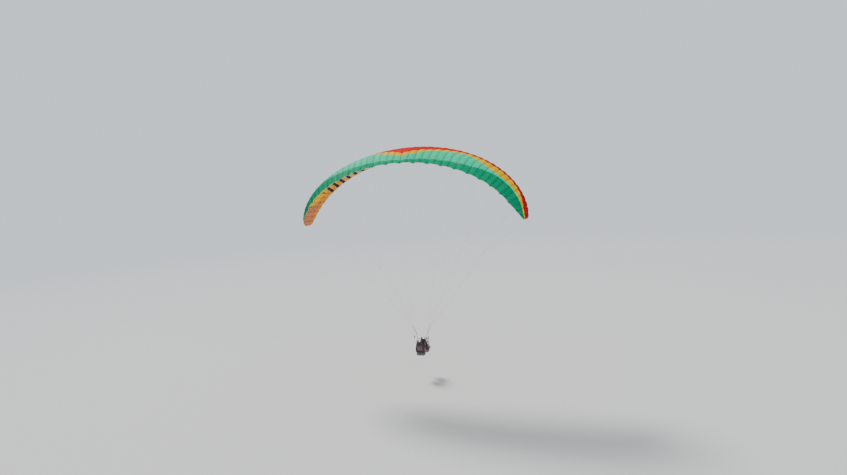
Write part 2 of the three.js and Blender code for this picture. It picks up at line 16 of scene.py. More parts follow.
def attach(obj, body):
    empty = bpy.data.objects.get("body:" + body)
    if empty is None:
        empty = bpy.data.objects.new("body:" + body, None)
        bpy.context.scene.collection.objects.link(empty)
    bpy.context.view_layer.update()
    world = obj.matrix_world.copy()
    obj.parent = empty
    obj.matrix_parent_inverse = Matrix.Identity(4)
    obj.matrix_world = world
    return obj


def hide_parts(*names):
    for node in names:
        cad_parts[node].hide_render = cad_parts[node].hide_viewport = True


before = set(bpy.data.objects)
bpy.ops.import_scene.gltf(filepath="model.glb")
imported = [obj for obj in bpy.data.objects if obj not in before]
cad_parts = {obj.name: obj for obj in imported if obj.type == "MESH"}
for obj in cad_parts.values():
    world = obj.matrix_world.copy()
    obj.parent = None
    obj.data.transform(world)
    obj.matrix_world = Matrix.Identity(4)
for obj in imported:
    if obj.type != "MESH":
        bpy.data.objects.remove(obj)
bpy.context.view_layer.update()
SIDES = {"left": 1, "right": -1}

# %% [markdown]
# ## Arithmetic that works on numbers and on nodes
# A paraglider's wing follows a rule: one section, swept along an arch. The same rule has to
# give single points in Python, where the lines are tied on, and whole surfaces in Geometry
# Nodes. A small class lets ordinary formulas build Math nodes, so the rule is written once.

# %% Formulas on node sockets
def operator(operation, swapped=False):
    """A method that builds one Math node from a wire and another value."""
    def build(wire, other):
        return formula(wire.tree, operation, *((other, wire) if swapped else (wire, other)))
    return build


class Wire:
    """A node's output on which arithmetic builds Math nodes. Of a whole node it is the first."""

    def __init__(self, tree, source):
        self.tree = tree
        self.socket = source.outputs[0] if isinstance(source, bpy.types.Node) else source

    def math(self, operation, *others):
        return formula(self.tree, operation, self, *others)

    __add__ = __radd__ = operator("ADD")
    __mul__ = __rmul__ = operator("MULTIPLY")
    __sub__, __rsub__ = operator("SUBTRACT"), operator("SUBTRACT", True)
    __truediv__, __rtruediv__ = operator("DIVIDE"), operator("DIVIDE", True)
    __pow__ = operator("POWER")

    def __neg__(self):
        return self * -1

    def __abs__(self):
        return self.math("ABSOLUTE")


def put(tree, value, socket):
    """Links a wire, a node or a socket into a socket, or sets a plain value on it."""
    if isinstance(value, bpy.types.Node):
        value = Wire(tree, value)
    if isinstance(value, Wire):
        value = value.socket
    if isinstance(value, bpy.types.NodeSocket):
        tree.links.new(value, socket)
    else:
        socket.default_value = value


def formula(tree, operation, *values):
    node = tree.nodes.new("ShaderNodeMath")
    node.operation = operation
    for value, socket in zip(values, node.inputs):
        put(tree, value, socket)
    return Wire(tree, node)


def add_node(tree, kind, inputs=None, **settings):
    """Adds a node, sets its own properties, then fills its inputs by name or number."""
    node = tree.nodes.new(kind)
    for name, value in settings.items():
        setattr(node, name, value)
    for key, value in (inputs or {}).items():
        put(tree, value, node.inputs[key])
    return node


# %% Limits, signs and remainders
def at_least(value, low):
    return value.math("MAXIMUM", low) if isinstance(value, Wire) else max(value, low)


def at_most(value, high):
    return value.math("MINIMUM", high) if isinstance(value, Wire) else min(value, high)


def clamp(value):
    return at_most(at_least(value, 0), 1)


def sign(value):
    return value.math("SIGN") if isinstance(value, Wire) else math.copysign(1, value)


def remainder(value, step):
    return value.math("FLOORED_MODULO", step) if isinstance(value, Wire) else value % step


print("on plain numbers, clamp(1.7) is", clamp(1.7), "and remainder(5, 3) is", remainder(5, 3))

# %% [markdown]
# ## The rule of the wing
# Seen from the front the wing is half an ellipse, and the cells are spaced evenly along its
# arc, a little wider at the centre. A place on the cloth has two numbers: the rib it lies
# at, from -22 to 22, and a walk round the section, from -1 at the rear of the underside
# through 0 at the nose to 1 at the rear of the top. Its square is the share of the chord,
# which packs the points where the nose bends most.

# %% Sizes of the wing
HALF_SPAN, ARCH_HEIGHT, END_ANGLE = 5.70, 3.66, 0.95 * math.pi / 2
ROOT_CHORD, TIP_RATIO, TAPER, SWEEP, DATUM = 3.15, 0.12, 2.15, 1.10, 0.30
THICKNESS, CAMBER, CAMBER_FORWARD, HALF_EDGE = 0.15, 0.10, 0.75, 0.003
# How thickness grows along a wing section, for the chord share's root and its powers one to four
BY_ROOT, BY_ONE, BY_TWO, BY_THREE, BY_FOUR = 0.2969, 0.1260, 0.3516, 0.2843, 0.1036
EACH_SIDE, MORE_ON_TOP, NOSE_SOFTNESS = 0.95, 0.10, 0.1
BRAKE_FROM, BRAKE_SLOPE, BRAKE_CURL = 0.78, math.tan(math.radians(36)), 1.4
BRAKE_END, BRAKE_FADE, UNHELD, HELD_MORE = 1.1, 0.22, 0.9, 0.1
RIBS, CENTRE_WIDTH, LAST_OPEN_RIB, BALLOON = 22, 1.12, 17, 0.10

angles = np.linspace(0, END_ANGLE, 2001)
middles = (angles[1:] + angles[:-1]) / 2
pace = np.hypot(HALF_SPAN * np.cos(middles), ARCH_HEIGHT * np.sin(middles))
arcs = np.append(0, np.cumsum(pace * np.diff(angles)))
HALF_ARC = float(arcs[-1])
print(f"half arc {HALF_ARC:.3f} m")


# %% Formulas for a place on the cloth
def rib_station(rib):
    share = rib / RIBS
    return share * (CENTRE_WIDTH - (CENTRE_WIDTH - 1) * share * share)


def cell_width(rib):
    share = rib / RIBS
    return HALF_ARC / RIBS * (CENTRE_WIDTH - 3 * (CENTRE_WIDTH - 1) * share * share)


def chord_at(station):
    fill = at_least(1 - abs(station) ** TAPER, 0) ** (1 / TAPER)
    return ROOT_CHORD * (TIP_RATIO + (1 - TIP_RATIO) * fill)


def section_height(walk):
    """How high the section lies over its chord, as a share of the chord."""
    u = walk * walk
    half = 5 * THICKNESS * (
        BY_ROOT * abs(walk) - BY_ONE * u - BY_TWO * u ** 2 + BY_THREE * u ** 3 - BY_FOUR * u ** 4)
    side = sign(walk)
    return CAMBER * u * (1 - u) * (1 - CAMBER_FORWARD * u) + side * (EACH_SIDE + MORE_ON_TOP * side) * half


def brake_drop(walk, station, rib):
    """How far the brakes pull the rear down, most at the even ribs, which hold their cords."""
    past = at_least(walk * walk - BRAKE_FROM, 0)
    fade = at_most((BRAKE_END - abs(station)) / BRAKE_FADE, 1)
    near_even = abs(remainder(rib, 2) - 1)
    held = UNHELD + HELD_MORE * at_least(2 * near_even - 1, 0)
    return BRAKE_SLOPE * past ** BRAKE_CURL / (1 - BRAKE_FROM) ** (BRAKE_CURL - 1) * fade * held


def skin_place(rib, walk, arch, out=0.0):
    """X, Y and Z on the cloth. arch gives x, z and the outward normal at a station, and out
    is how far the place stands off the section, along the section's own normal."""
    station = rib_station(rib)
    x, z, normal_x, normal_z = arch(station)
    chord = chord_at(station)
    length = (walk * walk + NOSE_SOFTNESS ** 2) ** 0.5
    outward, forward = walk / length, NOSE_SOFTNESS / length
    rise = chord * (section_height(walk) - brake_drop(walk, station, rib))
    rise = rise + sign(walk) * HALF_EDGE * (1 - walk * walk) + outward * out
    y = SWEEP * station * station + (walk * walk - DATUM) * chord - forward * out
    return x + normal_x * rise, y, z + normal_z * rise


def arch_numbers(station):
    angle = float(np.interp(abs(station) * HALF_ARC, arcs, angles))
    normal = Vector((ARCH_HEIGHT * math.sin(angle), HALF_SPAN * math.cos(angle))).normalized()
    side = math.copysign(1, station)
    return (side * HALF_SPAN * math.sin(angle), -ARCH_HEIGHT * (1 - math.cos(angle)),
            side * normal[0], normal[1])


def skin_point(rib, chord_share, out):
    """A point on the underside, or a little inside it."""
    return Vector(skin_place(rib, -math.sqrt(chord_share), arch_numbers, out))


print(f"centre cell {cell_width(0):.3f} m wide, tip chord {chord_at(1):.3f} m")

# %% [markdown]
# ## Building and running node trees
# A Geometry Nodes tree is written once with named inputs, run on an empty object, and its
# result is kept as a plain mesh. The modifier then goes, so that nothing depends on it.

# %% Making and running a tree
SOCKETS = {float: "NodeSocketFloat", int: "NodeSocketInt", type(None): "NodeSocketMaterial"}


def new_tree(name, **inputs):
    """A tree with a Geometry input and output, and one named input for each size."""
    tree = bpy.data.node_groups.new(name, "GeometryNodeTree")
    for way in ("INPUT", "OUTPUT"):
        tree.interface.new_socket("Geometry", in_out=way, socket_type="NodeSocketGeometry")
    for label, value in dict(inputs, Material=None).items():
        made = tree.interface.new_socket(
            label.replace("_", " "), in_out="INPUT", socket_type=SOCKETS[type(value)])
        if value is not None:
            made.default_value = value
    given = tree.nodes.new("NodeGroupInput").outputs
    return tree, lambda label: Wire(tree, given[label])


def close_tree(tree, given, geometry):
    """Every tree ends in Realize Instances and Set Material."""
    real = add_node(tree, "GeometryNodeRealizeInstances", {"Geometry": geometry})
    dyed = add_node(tree, "GeometryNodeSetMaterial", {"Geometry": real, "Material": given("Material")})
    put(tree, dyed, tree.nodes.new("NodeGroupOutput").inputs[0])
    return tree


def incoming(tree):
    """The geometry that a tree is run on."""
    return tree.nodes["Group Input"].outputs["Geometry"]


def link_object(name, data):
    made = bpy.data.objects.new(name, data)
    bpy.context.scene.collection.objects.link(made)
    return made


def run_tree(tree, name, material, mesh=None, **sizes):
    """Runs a tree on a mesh, or on nothing, and keeps the result as a plain mesh."""
    made = link_object(name, mesh or bpy.data.meshes.new(name))
    modifier = made.modifiers.new(tree.name, "NODES")
    modifier.node_group = tree
    values = {label.replace("_", " "): value for label, value in dict(sizes, Material=material).items()}
    for socket in tree.interface.items_tree:
        if socket.in_out == "INPUT" and socket.name in values:
            modifier[socket.identifier] = values[socket.name]
    evaluated = made.evaluated_get(bpy.context.evaluated_depsgraph_get())
    plain = bpy.data.meshes.new_from_object(evaluated)
    made.modifiers.remove(modifier)
    made.data = plain
    return made


print("kinds of input that a tree can have:", ", ".join(SOCKETS.values()))

# %% Nodes that most trees use
OF_CORNERS = {"kind": "FLOAT2", "domain": "CORNER"}


def named(tree, label, kind="FLOAT"):
    """Reads an attribute of the geometry."""
    return Wire(tree, add_node(tree, "GeometryNodeInputNamedAttribute", {"Name": label}, data_type=kind))


def store(tree, geometry, label, value, kind="FLOAT", domain="POINT"):
    values = {"Geometry": geometry, "Name": label, "Value": value}
    return add_node(tree, "GeometryNodeStoreNamedAttribute", values, data_type=kind, domain=domain)


def combine(tree, x, y, z):
    return add_node(tree, "ShaderNodeCombineXYZ", {"X": x, "Y": y, "Z": z})


def split(tree, vector):
    return [Wire(tree, socket) for socket in add_node(tree, "ShaderNodeSeparateXYZ", {0: vector}).outputs]


def move_to(tree, geometry, place):
    return add_node(tree, "GeometryNodeSetPosition", {"Geometry": geometry, "Position": place})


def tube(tree, curve, sides, radius, **more):
    """A round tube with closed ends along a curve."""
    profile = add_node(tree, "GeometryNodeCurvePrimitiveCircle", {"Resolution": sides, "Radius": radius})
    return add_node(tree, "GeometryNodeCurveToMesh",
                    {"Curve": curve, "Profile Curve": profile, "Fill Caps": True, **more})


def smoothed(tree, geometry):
    return add_node(tree, "GeometryNodeSetShadeSmooth", {"Geometry": geometry})


print("a UV map is stored as", OF_CORNERS)


# %% Counting and dressing a piece
def triangles(made):
    made.data.calc_loop_triangles()
    return len(made.data.loop_triangles)


def dress(made, body, slot, *nodes):
    """Attaches a finished piece to the body that it moves with, and hides the parts that it stands for. Its
    slot is not used.
    """
    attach(made, body)
    if nodes:
        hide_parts(*nodes)
    print(f"{made.name}: {triangles(made)} triangles, on {body}")
    return made


# %% [markdown]
# ## Camera, floor and light
# The photograph was taken from behind and to the wing's right, with the wing overhead. A
# pale floor lies about a metre under the harnesses, and fades into the world's own colour
# far out, so there is no horizon. The sun is a wide, soft lamp from in front of the wing, on
# its left, which lights the top and shines through the cloth of the far half.

# %% Camera
AZIMUTH, ELEVATION, ROLL = (math.radians(value) for value in (199.511, 5.989, -3.383))
DISTANCE, ACROSS, RISE = 31.166, 0.452, -4.223
FOCAL, PICTURE_WIDTH, SENSOR = 620, 847, 36

back = Vector((math.sin(AZIMUTH) * math.cos(ELEVATION), -math.cos(AZIMUTH) * math.cos(ELEVATION),
               math.sin(ELEVATION)))
level = Vector((math.cos(AZIMUTH), math.sin(AZIMUTH), 0))
upright = back.cross(level)
right = math.cos(ROLL) * level + math.sin(ROLL) * upright
above = math.cos(ROLL) * upright - math.sin(ROLL) * level
camera = link_object("camera", bpy.data.cameras.new("camera"))
stand = back * DISTANCE + right * ACROSS + above * RISE
camera.matrix_world = Matrix([*zip(right, above, back, stand), (0, 0, 0, 1)])
camera.data.sensor_width = SENSOR
camera.data.lens = FOCAL / PICTURE_WIDTH * SENSOR
camera.data.clip_end = 1000
bpy.context.scene.camera = camera
print("camera at", [round(value, 2) for value in camera.location])

# %% World and floor
WORLD_COLOUR, SEEN, LIT = (0.76, 0.83, 0.88, 1), 1.1, 0.45
FLOOR_Z, FLOOR_RADIUS, FADE_FROM, FADE_OVER = -11.35, 400.0, 20.0, 50.0
FLOOR_COLOUR, FLOOR_ROUGHNESS = (0.72, 0.73, 0.74, 1), 0.9


def new_material(name, roughness=0.6):
    material = bpy.data.materials.new(name)
    material.use_nodes = True
    shader = material.node_tree.nodes["Principled BSDF"]
    shader.inputs["Roughness"].default_value = roughness
    return material, material.node_tree, shader


def surface(tree, result):
    put(tree, result, tree.nodes["Material Output"].inputs["Surface"])


def object_place(tree):
    return add_node(tree, "ShaderNodeTexCoord").outputs["Object"]


def backdrop_strength(tree):
    """The backdrop looks paler than the light that it gives, which keeps the shading crisp."""
    seen = Wire(tree, add_node(tree, "ShaderNodeLightPath").outputs["Is Camera Ray"])
    return seen * (SEEN - LIT) + LIT


world = bpy.context.scene.world or bpy.data.worlds.new("World")
bpy.context.scene.world = world
world.use_nodes = True
sky = world.node_tree.nodes["Background"].inputs
put(world.node_tree, WORLD_COLOUR, sky["Color"])
put(world.node_tree, backdrop_strength(world.node_tree), sky["Strength"])

floor_mesh = bpy.data.meshes.new("floor")
disc = bmesh.new()
bmesh.ops.create_circle(
    disc, cap_ends=True, segments=96, radius=FLOOR_RADIUS, matrix=Matrix.Translation((0, 0, FLOOR_Z)))
disc.to_mesh(floor_mesh)
disc.free()
floor = link_object("floor", floor_mesh)
paint, tree, shaded = new_material("pale_floor", FLOOR_ROUGHNESS)
reach_x, reach_y, _ = split(tree, object_place(tree))
reach = (reach_x ** 2 + reach_y ** 2) ** 0.5
fade = clamp((reach - FADE_FROM) / FADE_OVER)
put(tree, FLOOR_COLOUR, shaded.inputs["Base Color"])
glow = add_node(tree, "ShaderNodeEmission", {"Color": WORLD_COLOUR, "Strength": backdrop_strength(tree)})
far = add_node(tree, "ShaderNodeMixShader", {0: fade, 1: shaded, 2: glow})
clear = add_node(tree, "ShaderNodeBsdfTransparent")
from_below = add_node(tree, "ShaderNodeNewGeometry").outputs["Backfacing"]
either = add_node(tree, "ShaderNodeMixShader", {0: from_below, 1: far, 2: clear})
surface(tree, either)
floor_mesh.materials.append(paint)
print("floor:", [round(size) for size in floor.dimensions], "m, at z", FLOOR_Z)


# %% Lamps
def sun(name, towards, strength, spread, colour=(1, 1, 1)):
    """A distant lamp that shines along a direction."""
    lamp = bpy.data.lights.new(name, "SUN")
    lamp.energy, lamp.angle, lamp.color = strength, math.radians(spread), colour
    link_object(name, lamp).rotation_euler = Vector(towards).to_track_quat("-Z", "Y").to_euler()


sun("key_lamp", (-0.60, 0.45, -0.80), 3.3, 14, (1.0, 0.97, 0.92))
sun("fill_lamp", (0.85, -0.9, -0.35), 2.3, 60)
print("lamps:", ", ".join(light.name for light in bpy.data.lights))

# %% [markdown]
# ## Cloth
# The wing is sewn from coated nylon with a ripstop grid: every few millimetres a thicker
# thread. It is thin enough to let light through, so the underside glows where the sun
# stands behind it. The colours are sewn panels, which follow the ribs and the chord, so
# the material reads those two numbers from the mesh. Light and shade are painted in too:
# on the top, sunlit mint at the front and shade over the braked rear and towards the tips;
# on both skins, shade near the ribs and light between them.

# %% Helpers for finishes and node groups
def new_group(name, inputs, outputs):
    """A shader node group with float, colour or vector sockets, by their default values."""
    group = bpy.data.node_groups.new(name, "ShaderNodeTree")
    kinds = {float: "NodeSocketFloat", 4: "NodeSocketColor", 3: "NodeSocketVector"}
    for way, sockets in (("INPUT", inputs), ("OUTPUT", outputs)):
        for label, value in sockets.items():
            kind = kinds[float] if isinstance(value, float) else kinds[len(value)]
            made = group.interface.new_socket(label, in_out=way, socket_type=kind)
            if way == "INPUT":
                made.default_value = value
    given = group.nodes.new("NodeGroupInput").outputs
    result = group.nodes.new("NodeGroupOutput").inputs
    return (group, lambda label: Wire(group, given[label]),
            lambda label, value: put(group, value, result[label]))


def use_group(tree, group, **inputs):
    made = tree.nodes.new("ShaderNodeGroup")
    made.node_tree = group
    for label, value in inputs.items():
        put(tree, value, made.inputs[label.replace("_", " ")])
    return lambda label: Wire(tree, made.outputs[label])


def coat(tree, shader, colour, roughness, height):
    """Gives a finish its colour, its roughness and the height of its relief in metres."""
    relief = add_node(tree, "ShaderNodeBump", {"Strength": 1.0, "Distance": 1.0, "Height": height})
    for label, value in (("Base Color", colour), ("Roughness", roughness), ("Normal", relief)):
        put(tree, value, shader.inputs[label])


def painted(tree, label):
    """Reads a number that the mesh carries at each point."""
    return Wire(tree, add_node(tree, "ShaderNodeAttribute", attribute_name=label).outputs["Fac"])


def uv_place(tree):
    return add_node(tree, "ShaderNodeUVMap", uv_map="UVMap")


def scaled(tree, colour, by):
    return add_node(tree, "ShaderNodeVectorMath", {0: colour, "Scale": by}, operation="SCALE")


def noise(tree, vector, scale, detail, stretch=None):
    if stretch:
        vector = add_node(tree, "ShaderNodeVectorMath", {0: vector, 1: stretch}, operation="MULTIPLY")
    values = {"Vector": vector, "Scale": scale, "Detail": detail}
    return Wire(tree, add_node(tree, "ShaderNodeTexNoise", values))


def mix_colour(tree, share, first, second):
    return add_node(tree, "ShaderNodeMix", {0: share, 6: first, 7: second}, data_type="RGBA").outputs[2]


# %% Ripstop and seams, as node groups
def band(off, half_width, soft):
    """1 where a place is within half a width of a line, 0 further off, with soft sides."""
    return clamp((half_width - off) / soft + 1)


def dashes(along, pitch, gap, soft):
    """1 on the stitches of a row and 0 on the gaps between them."""
    return clamp((remainder(along, pitch) - gap) / soft)


def line_mask(place, pitch, half_width):
    """1 on a line at every multiple of a pitch."""
    off = abs(remainder(place + pitch / 2, pitch) - pitch / 2)
    return band(off, half_width, half_width * 0.4)


THREAD_HIGH, THREAD_SHADE, THREAD_GLOSS, CLOTH_ROUGHNESS, GRIME_ROUGHER = 0.0002, 0.05, 0.05, 0.42, 0.2
CRUMPLE_SCALE, CRUMPLE_STRETCH, CRUMPLE_DEEP, GRIME_SCALE = 1.6, (2.2, 0.8, 1.0), 0.012, 0.45
group, given, result = new_group(
    "ripstop_weave", {"Place": (0.0, 0.0, 0.0), "Grid": 0.006, "Half thread": 0.0004, "Fade": 0.08},
    {"Height": 0.0, "Tone": 0.0, "Roughness": 0.0})
u, v, _ = split(group, given("Place"))
warp, weft = (line_mask(axis, given("Grid"), given("Half thread")) for axis in (u, v))
threads = at_most(warp + weft, 1)
crumple = noise(group, given("Place"), CRUMPLE_SCALE, 4.0, CRUMPLE_STRETCH)
grime = noise(group, given("Place"), GRIME_SCALE, 3.0)
# The tone follows the grime, as real dirt, and the crumples, with painted shade in their hollows
grime_and_crumple_shade = (grime - 0.5) * given("Fade"), (crumple - 0.5) * given("Fade")
result("Height", threads * THREAD_HIGH + crumple * CRUMPLE_DEEP)
result("Tone", 1 - threads * THREAD_SHADE + grime_and_crumple_shade[0] + grime_and_crumple_shade[1])
result("Roughness", CLOTH_ROUGHNESS + grime * GRIME_ROUGHER - threads * THREAD_GLOSS)
RIPSTOP = group

STITCH_IN, HALF_STITCH, STITCH_PITCH, STITCH_GAP = 0.004, 0.0012, 0.008, 0.0025
SEAM_SOFT, STITCH_SOFT, GAP_SOFT, STITCH_HIGH, SEAM_DEEP = 0.002, 0.0006, 0.0005, 0.0008, 0.0015
group, given, result = new_group(
    "cell_seams", {"Rib": 0.0, "Width": 0.34, "Along": 0.0, "Half seam": 0.009},
    {"Seam": 0.0, "Stitch": 0.0, "Height": 0.0})
off = abs(remainder(given("Rib") + 0.5, 1.0) - 0.5) * given("Width")
seam = band(off, given("Half seam"), SEAM_SOFT)
row = band(abs(off - STITCH_IN), HALF_STITCH, STITCH_SOFT)
stitch = row * dashes(given("Along"), STITCH_PITCH, STITCH_GAP, GAP_SOFT)
result("Seam", seam)
result("Stitch", stitch)
result("Height", stitch * STITCH_HIGH - seam * SEAM_DEEP)
SEAMS = group
print("node groups:", RIPSTOP.name, SEAMS.name)

# %% Colours of the cloth, and where they meet
# Towards the tips the red and the green darken into painted shade
RED, SHADED_TIP_RED, YELLOW = (0.85, 0.012, 0.01, 1), (0.52, 0.004, 0.012, 1), (1.0, 0.64, 0.0, 1)
# The top is one green cloth, painted as sunlit mint in front and in shade over the braked rear
SUNLIT_MINT, SHADED_REAR_GREEN, SHADED_TIP_GREEN = (0.0, 0.86, 0.48, 1), (0.0, 0.44, 0.22, 1), (0.0, 0.30, 0.15, 1)
ORANGE, GOLD = (0.93, 0.38, 0.02, 1), (1.0, 0.60, 0.02, 1)
EMBER, PEACH = (0.72, 0.27, 0.12, 1), (1.0, 0.62, 0.25, 1)
DARK, WHITE, PALE_THREAD = (0.02, 0.018, 0.03, 1), (0.78, 0.78, 0.76, 1), (0.55, 0.55, 0.53, 1)
# Share of the chord where red gives way to yellow, and yellow to green, at each rib
RED_EDGE = ((0, .855), (2, .79), (4, .69), (6, .57), (8, .46), (10, .42), (12, .44), (14, .41),
            (16, .41), (18, .50), (20, .72), (22, .86))
GREEN_EDGE = ((0, .905), (2, .855), (4, .78), (6, .68), (8, .55), (10, .64), (12, .73), (14, .74),
              (16, .72), (18, .72), (20, .80), (22, .88))
# Share of the chord where the top's painted sunlit mint gives way to the braked rear's painted shade
SUNLIT_EDGE = ((0, .96), (4, .94), (8, .915), (10, .89), (12, .845), (14, .80), (16, .77), (22, .77))


def edge_curve(tree, across, knots):
    """A chord share that depends on the rib, by straight lines between knots."""
    node = add_node(tree, "ShaderNodeFloatCurve", {"Value": across / RIBS})
    points = node.mapping.curves[0].points
    for i, (rib, share) in enumerate(knots):
        point = points[i] if i < 2 else points.new(rib / RIBS, share)
        point.location = (rib / RIBS, share)
        point.handle_type = "VECTOR"
    node.mapping.update()
    return Wire(tree, node)


def below(value, edge, sharpness=250.0):
    """1 where a value is under an edge, 0 over it, with a thin soft step."""
    return clamp((edge - value) * sharpness + 0.5)


print("knots of the curves between the colours:", len(RED_EDGE), len(GREEN_EDGE), len(SUNLIT_EDGE))

# %% A finish for sewn cloth
THROUGH, SEAM_SHADE, LEAST_DYE, DYE_MORE = 0.30, 0.40, 0.95, 0.10
CLOTH_GLOSS, PAINTED_LIGHT_BETWEEN_RIBS, THREAD_SHOWS = 0.03, 0.4, 0.5


def cloth(name, panels, painted_rib_shade=0.0):
    """A cloth finish whose colours come from panels(tree, rib, chord share). Light shines
    through the cloth, and the colour gets painted shade near the ribs and painted light
    between them, as much as the last argument gives."""
    material, tree, shader = new_material(name)
    shader.inputs["Specular IOR Level"].default_value = CLOTH_GLOSS
    rib, walk, place = painted(tree, "rib"), painted(tree, "walk"), uv_place(tree)
    _, along, _ = split(tree, place)
    weave = use_group(tree, RIPSTOP, Place=place)
    seams = use_group(tree, SEAMS, Rib=rib, Along=along, Width=cell_width(abs(rib)))
    colour = panels(tree, rib, walk * walk)
    dye_lot = add_node(tree, "ShaderNodeTexWhiteNoise", {"W": rib.math("FLOOR")}, noise_dimensions="1D")
    near_rib = abs(remainder(rib, 1.0) * 2 - 1)
    # Painted light in the middle of each cell, and painted shade towards its ribs
    glow = 1 + painted_rib_shade * (PAINTED_LIGHT_BETWEEN_RIBS - near_rib ** 3)
    lot = LEAST_DYE + Wire(tree, dye_lot.outputs["Value"]) * DYE_MORE
    tone = weave("Tone") * (1 - seams("Seam") * SEAM_SHADE) * lot * glow
    toned = scaled(tree, colour, tone)
    stitched = mix_colour(tree, seams("Stitch") * THREAD_SHOWS, toned, PALE_THREAD)
    coat(tree, shader, stitched, weave("Roughness"), weave("Height") + seams("Height"))
    soft = add_node(tree, "ShaderNodeBsdfTranslucent", {"Color": stitched})
    surface(tree, add_node(tree, "ShaderNodeMixShader", {0: THROUGH, 1: shader, 2: soft}))
    return material


# %% Panels of the top, the underside and the ribs
def top_panels(tree, rib, u):
    across = abs(rib)
    in_red = below(u, edge_curve(tree, across, RED_EDGE))
    in_yellow = below(u, edge_curve(tree, across, GREEN_EDGE))
    # Painted shade that deepens towards the tips
    outer = clamp((across - 9) / 9)
    green = mix_colour(tree, outer, SHADED_REAR_GREEN, SHADED_TIP_GREEN)
    # Painted sunlight on the front of the top, painted shade on its braked rear
    rear = mix_colour(tree, below(u, edge_curve(tree, across, SUNLIT_EDGE), 120.0), green, SUNLIT_MINT)
    red = mix_colour(tree, outer, RED, SHADED_TIP_RED)
    return mix_colour(tree, in_red, mix_colour(tree, in_yellow, rear, YELLOW), red)


TIP_RIB, TIP_SLANT, FIRST_BAR_RIB, LAST_BAR_RIB = 17.5, 2, 5.4, 15.0
PEACH_TO, ORANGE_TO, ORANGE_SLANT, EMBER_TO, PEACH_RIBS, PEACH_FADE = 0.15, 0.42, 0.002, 0.25, 14, 5
BAR_SLANT, BAR_PITCH, HALF_BAR, ROW_MIDDLE, HALF_ROW = 2.4, 1.2, 0.25, 0.35, 0.22


def under_panels(tree, rib, u):
    """Peach at the centre, which fades into peach, orange and gold from front to rear, and
    ember at the tips, with a row of plain slanted bars."""
    across = abs(rib)
    orange = mix_colour(tree, below(u, PEACH_TO), ORANGE, PEACH)
    middle = mix_colour(tree, below(u, ORANGE_TO + across * ORANGE_SLANT), GOLD, orange)
    warm = mix_colour(tree, clamp((PEACH_RIBS - across) / PEACH_FADE), middle, PEACH)
    tip = mix_colour(tree, below(u, EMBER_TO), EMBER, ORANGE)
    toned = mix_colour(tree, below(TIP_RIB + (u - 0.5) * TIP_SLANT, across), warm, tip)
    slant = across + u * BAR_SLANT
    in_bars = below(abs(remainder(slant, BAR_PITCH) - BAR_PITCH / 2), HALF_BAR, 30.0)
    in_rows = (below(abs(u - ROW_MIDDLE), HALF_ROW) * below(across, LAST_BAR_RIB, 30.0)
               * below(FIRST_BAR_RIB, across, 30.0))
    border = below(abs(across - TIP_RIB - (u - 0.5) * TIP_SLANT), 0.05, 60.0)
    return mix_colour(tree, at_most(in_bars * in_rows + border * 0.7, 1), toned, DARK)


TOP_CLOTH = cloth("top_cloth", top_panels, painted_rib_shade=0.34)
UNDER_CLOTH = cloth("underside_cloth", under_panels, painted_rib_shade=0.25)
RIB_CLOTH = cloth(
    "rib_cloth", lambda tree, rib, u: mix_colour(tree, below(RIBS - 0.5, abs(rib), 5.0), WHITE, RED))
print("cloth finishes:", TOP_CLOTH.name, UNDER_CLOTH.name, RIB_CLOTH.name)

# %% [markdown]
# ## The wing's cloth
# Air rushes in through openings under the nose and presses the cloth out between the ribs,
# so each cell is a long soft tube with a crease at either side. The top and the underside
# could be lofted by hand, but one Geometry Nodes tree that bends a flat grid by the wing's
# rule makes both, with every cell's own slight difference.

# %% The arch and its cells in nodes
STEPS_PER_CELL, CHORD_STEPS, ARCH_STEPS, NOSE_JOIN = 8, 62, 801, 0.1225
LEAST_FULL, MOST_FULL, RIPPLE, PUCKER, PUCKER_FROM = 0.9, 1.1, 0.016, 1.1, 0.66
CELL_FLATNESS, REAR_TAPER, FULL_AT_NOSE, NOSE_PART = 2.2, 0.45, 0.72, 0.25
ARCH = {"Half_span": HALF_SPAN, "Arch_height": ARCH_HEIGHT}
TOP_LIP = {"Lip_at_rib": 0.005, "Lip_at_middle": -0.03}
UNDER_LIP = {"Lip_at_rib": 0.085, "Lip_at_middle": 0.03}
CREASE_ANGLE = 24


def even_points(tree, count):
    """A curve of evenly spaced points, and each one's share of the way along it."""
    line = add_node(tree, "GeometryNodeCurvePrimitiveLine")
    points = add_node(tree, "GeometryNodeResampleCurve", {"Curve": line, "Count": count})
    return points, Wire(tree, add_node(tree, "GeometryNodeSplineParameter").outputs["Factor"])


def arch_in_nodes(tree, given):
    """The arch as a curve, sampled evenly along its arc."""
    points, share = even_points(tree, ARCH_STEPS)
    angle = (share * 2 - 1) * END_ANGLE
    place = combine(tree, given("Half span") * angle.math("SINE"), 0.0,
                    given("Arch height") * (angle.math("COSINE") - 1))
    arch = move_to(tree, points, place)

    def sample(station):
        values = {"Curves": arch, "Factor": station * 0.5 + 0.5}
        node = add_node(tree, "GeometryNodeSampleCurve", values, mode="FACTOR")
        x, _, z = split(tree, node.outputs["Position"])
        along_x, _, along_z = split(tree, node.outputs["Tangent"])
        return x, z, -along_z, along_x
    return sample


def lip_walk(rib, at_rib, at_middle):
    """How far round the section from the nose the cloth starts, which leaves the intakes open."""
    is_open = clamp((LAST_OPEN_RIB - abs(rib)) * 1000 - 1)
    across = abs(remainder(rib, 1.0) * 2 - 1)
    return NOSE_JOIN + is_open * (at_rib + at_middle * (1 - across ** 4))


def flat_grid(tree, columns, rows):
    values = {"Size X": 1.0, "Size Y": 1.0, "Vertices X": columns, "Vertices Y": rows}
    return add_node(tree, "GeometryNodeMeshGrid", values)


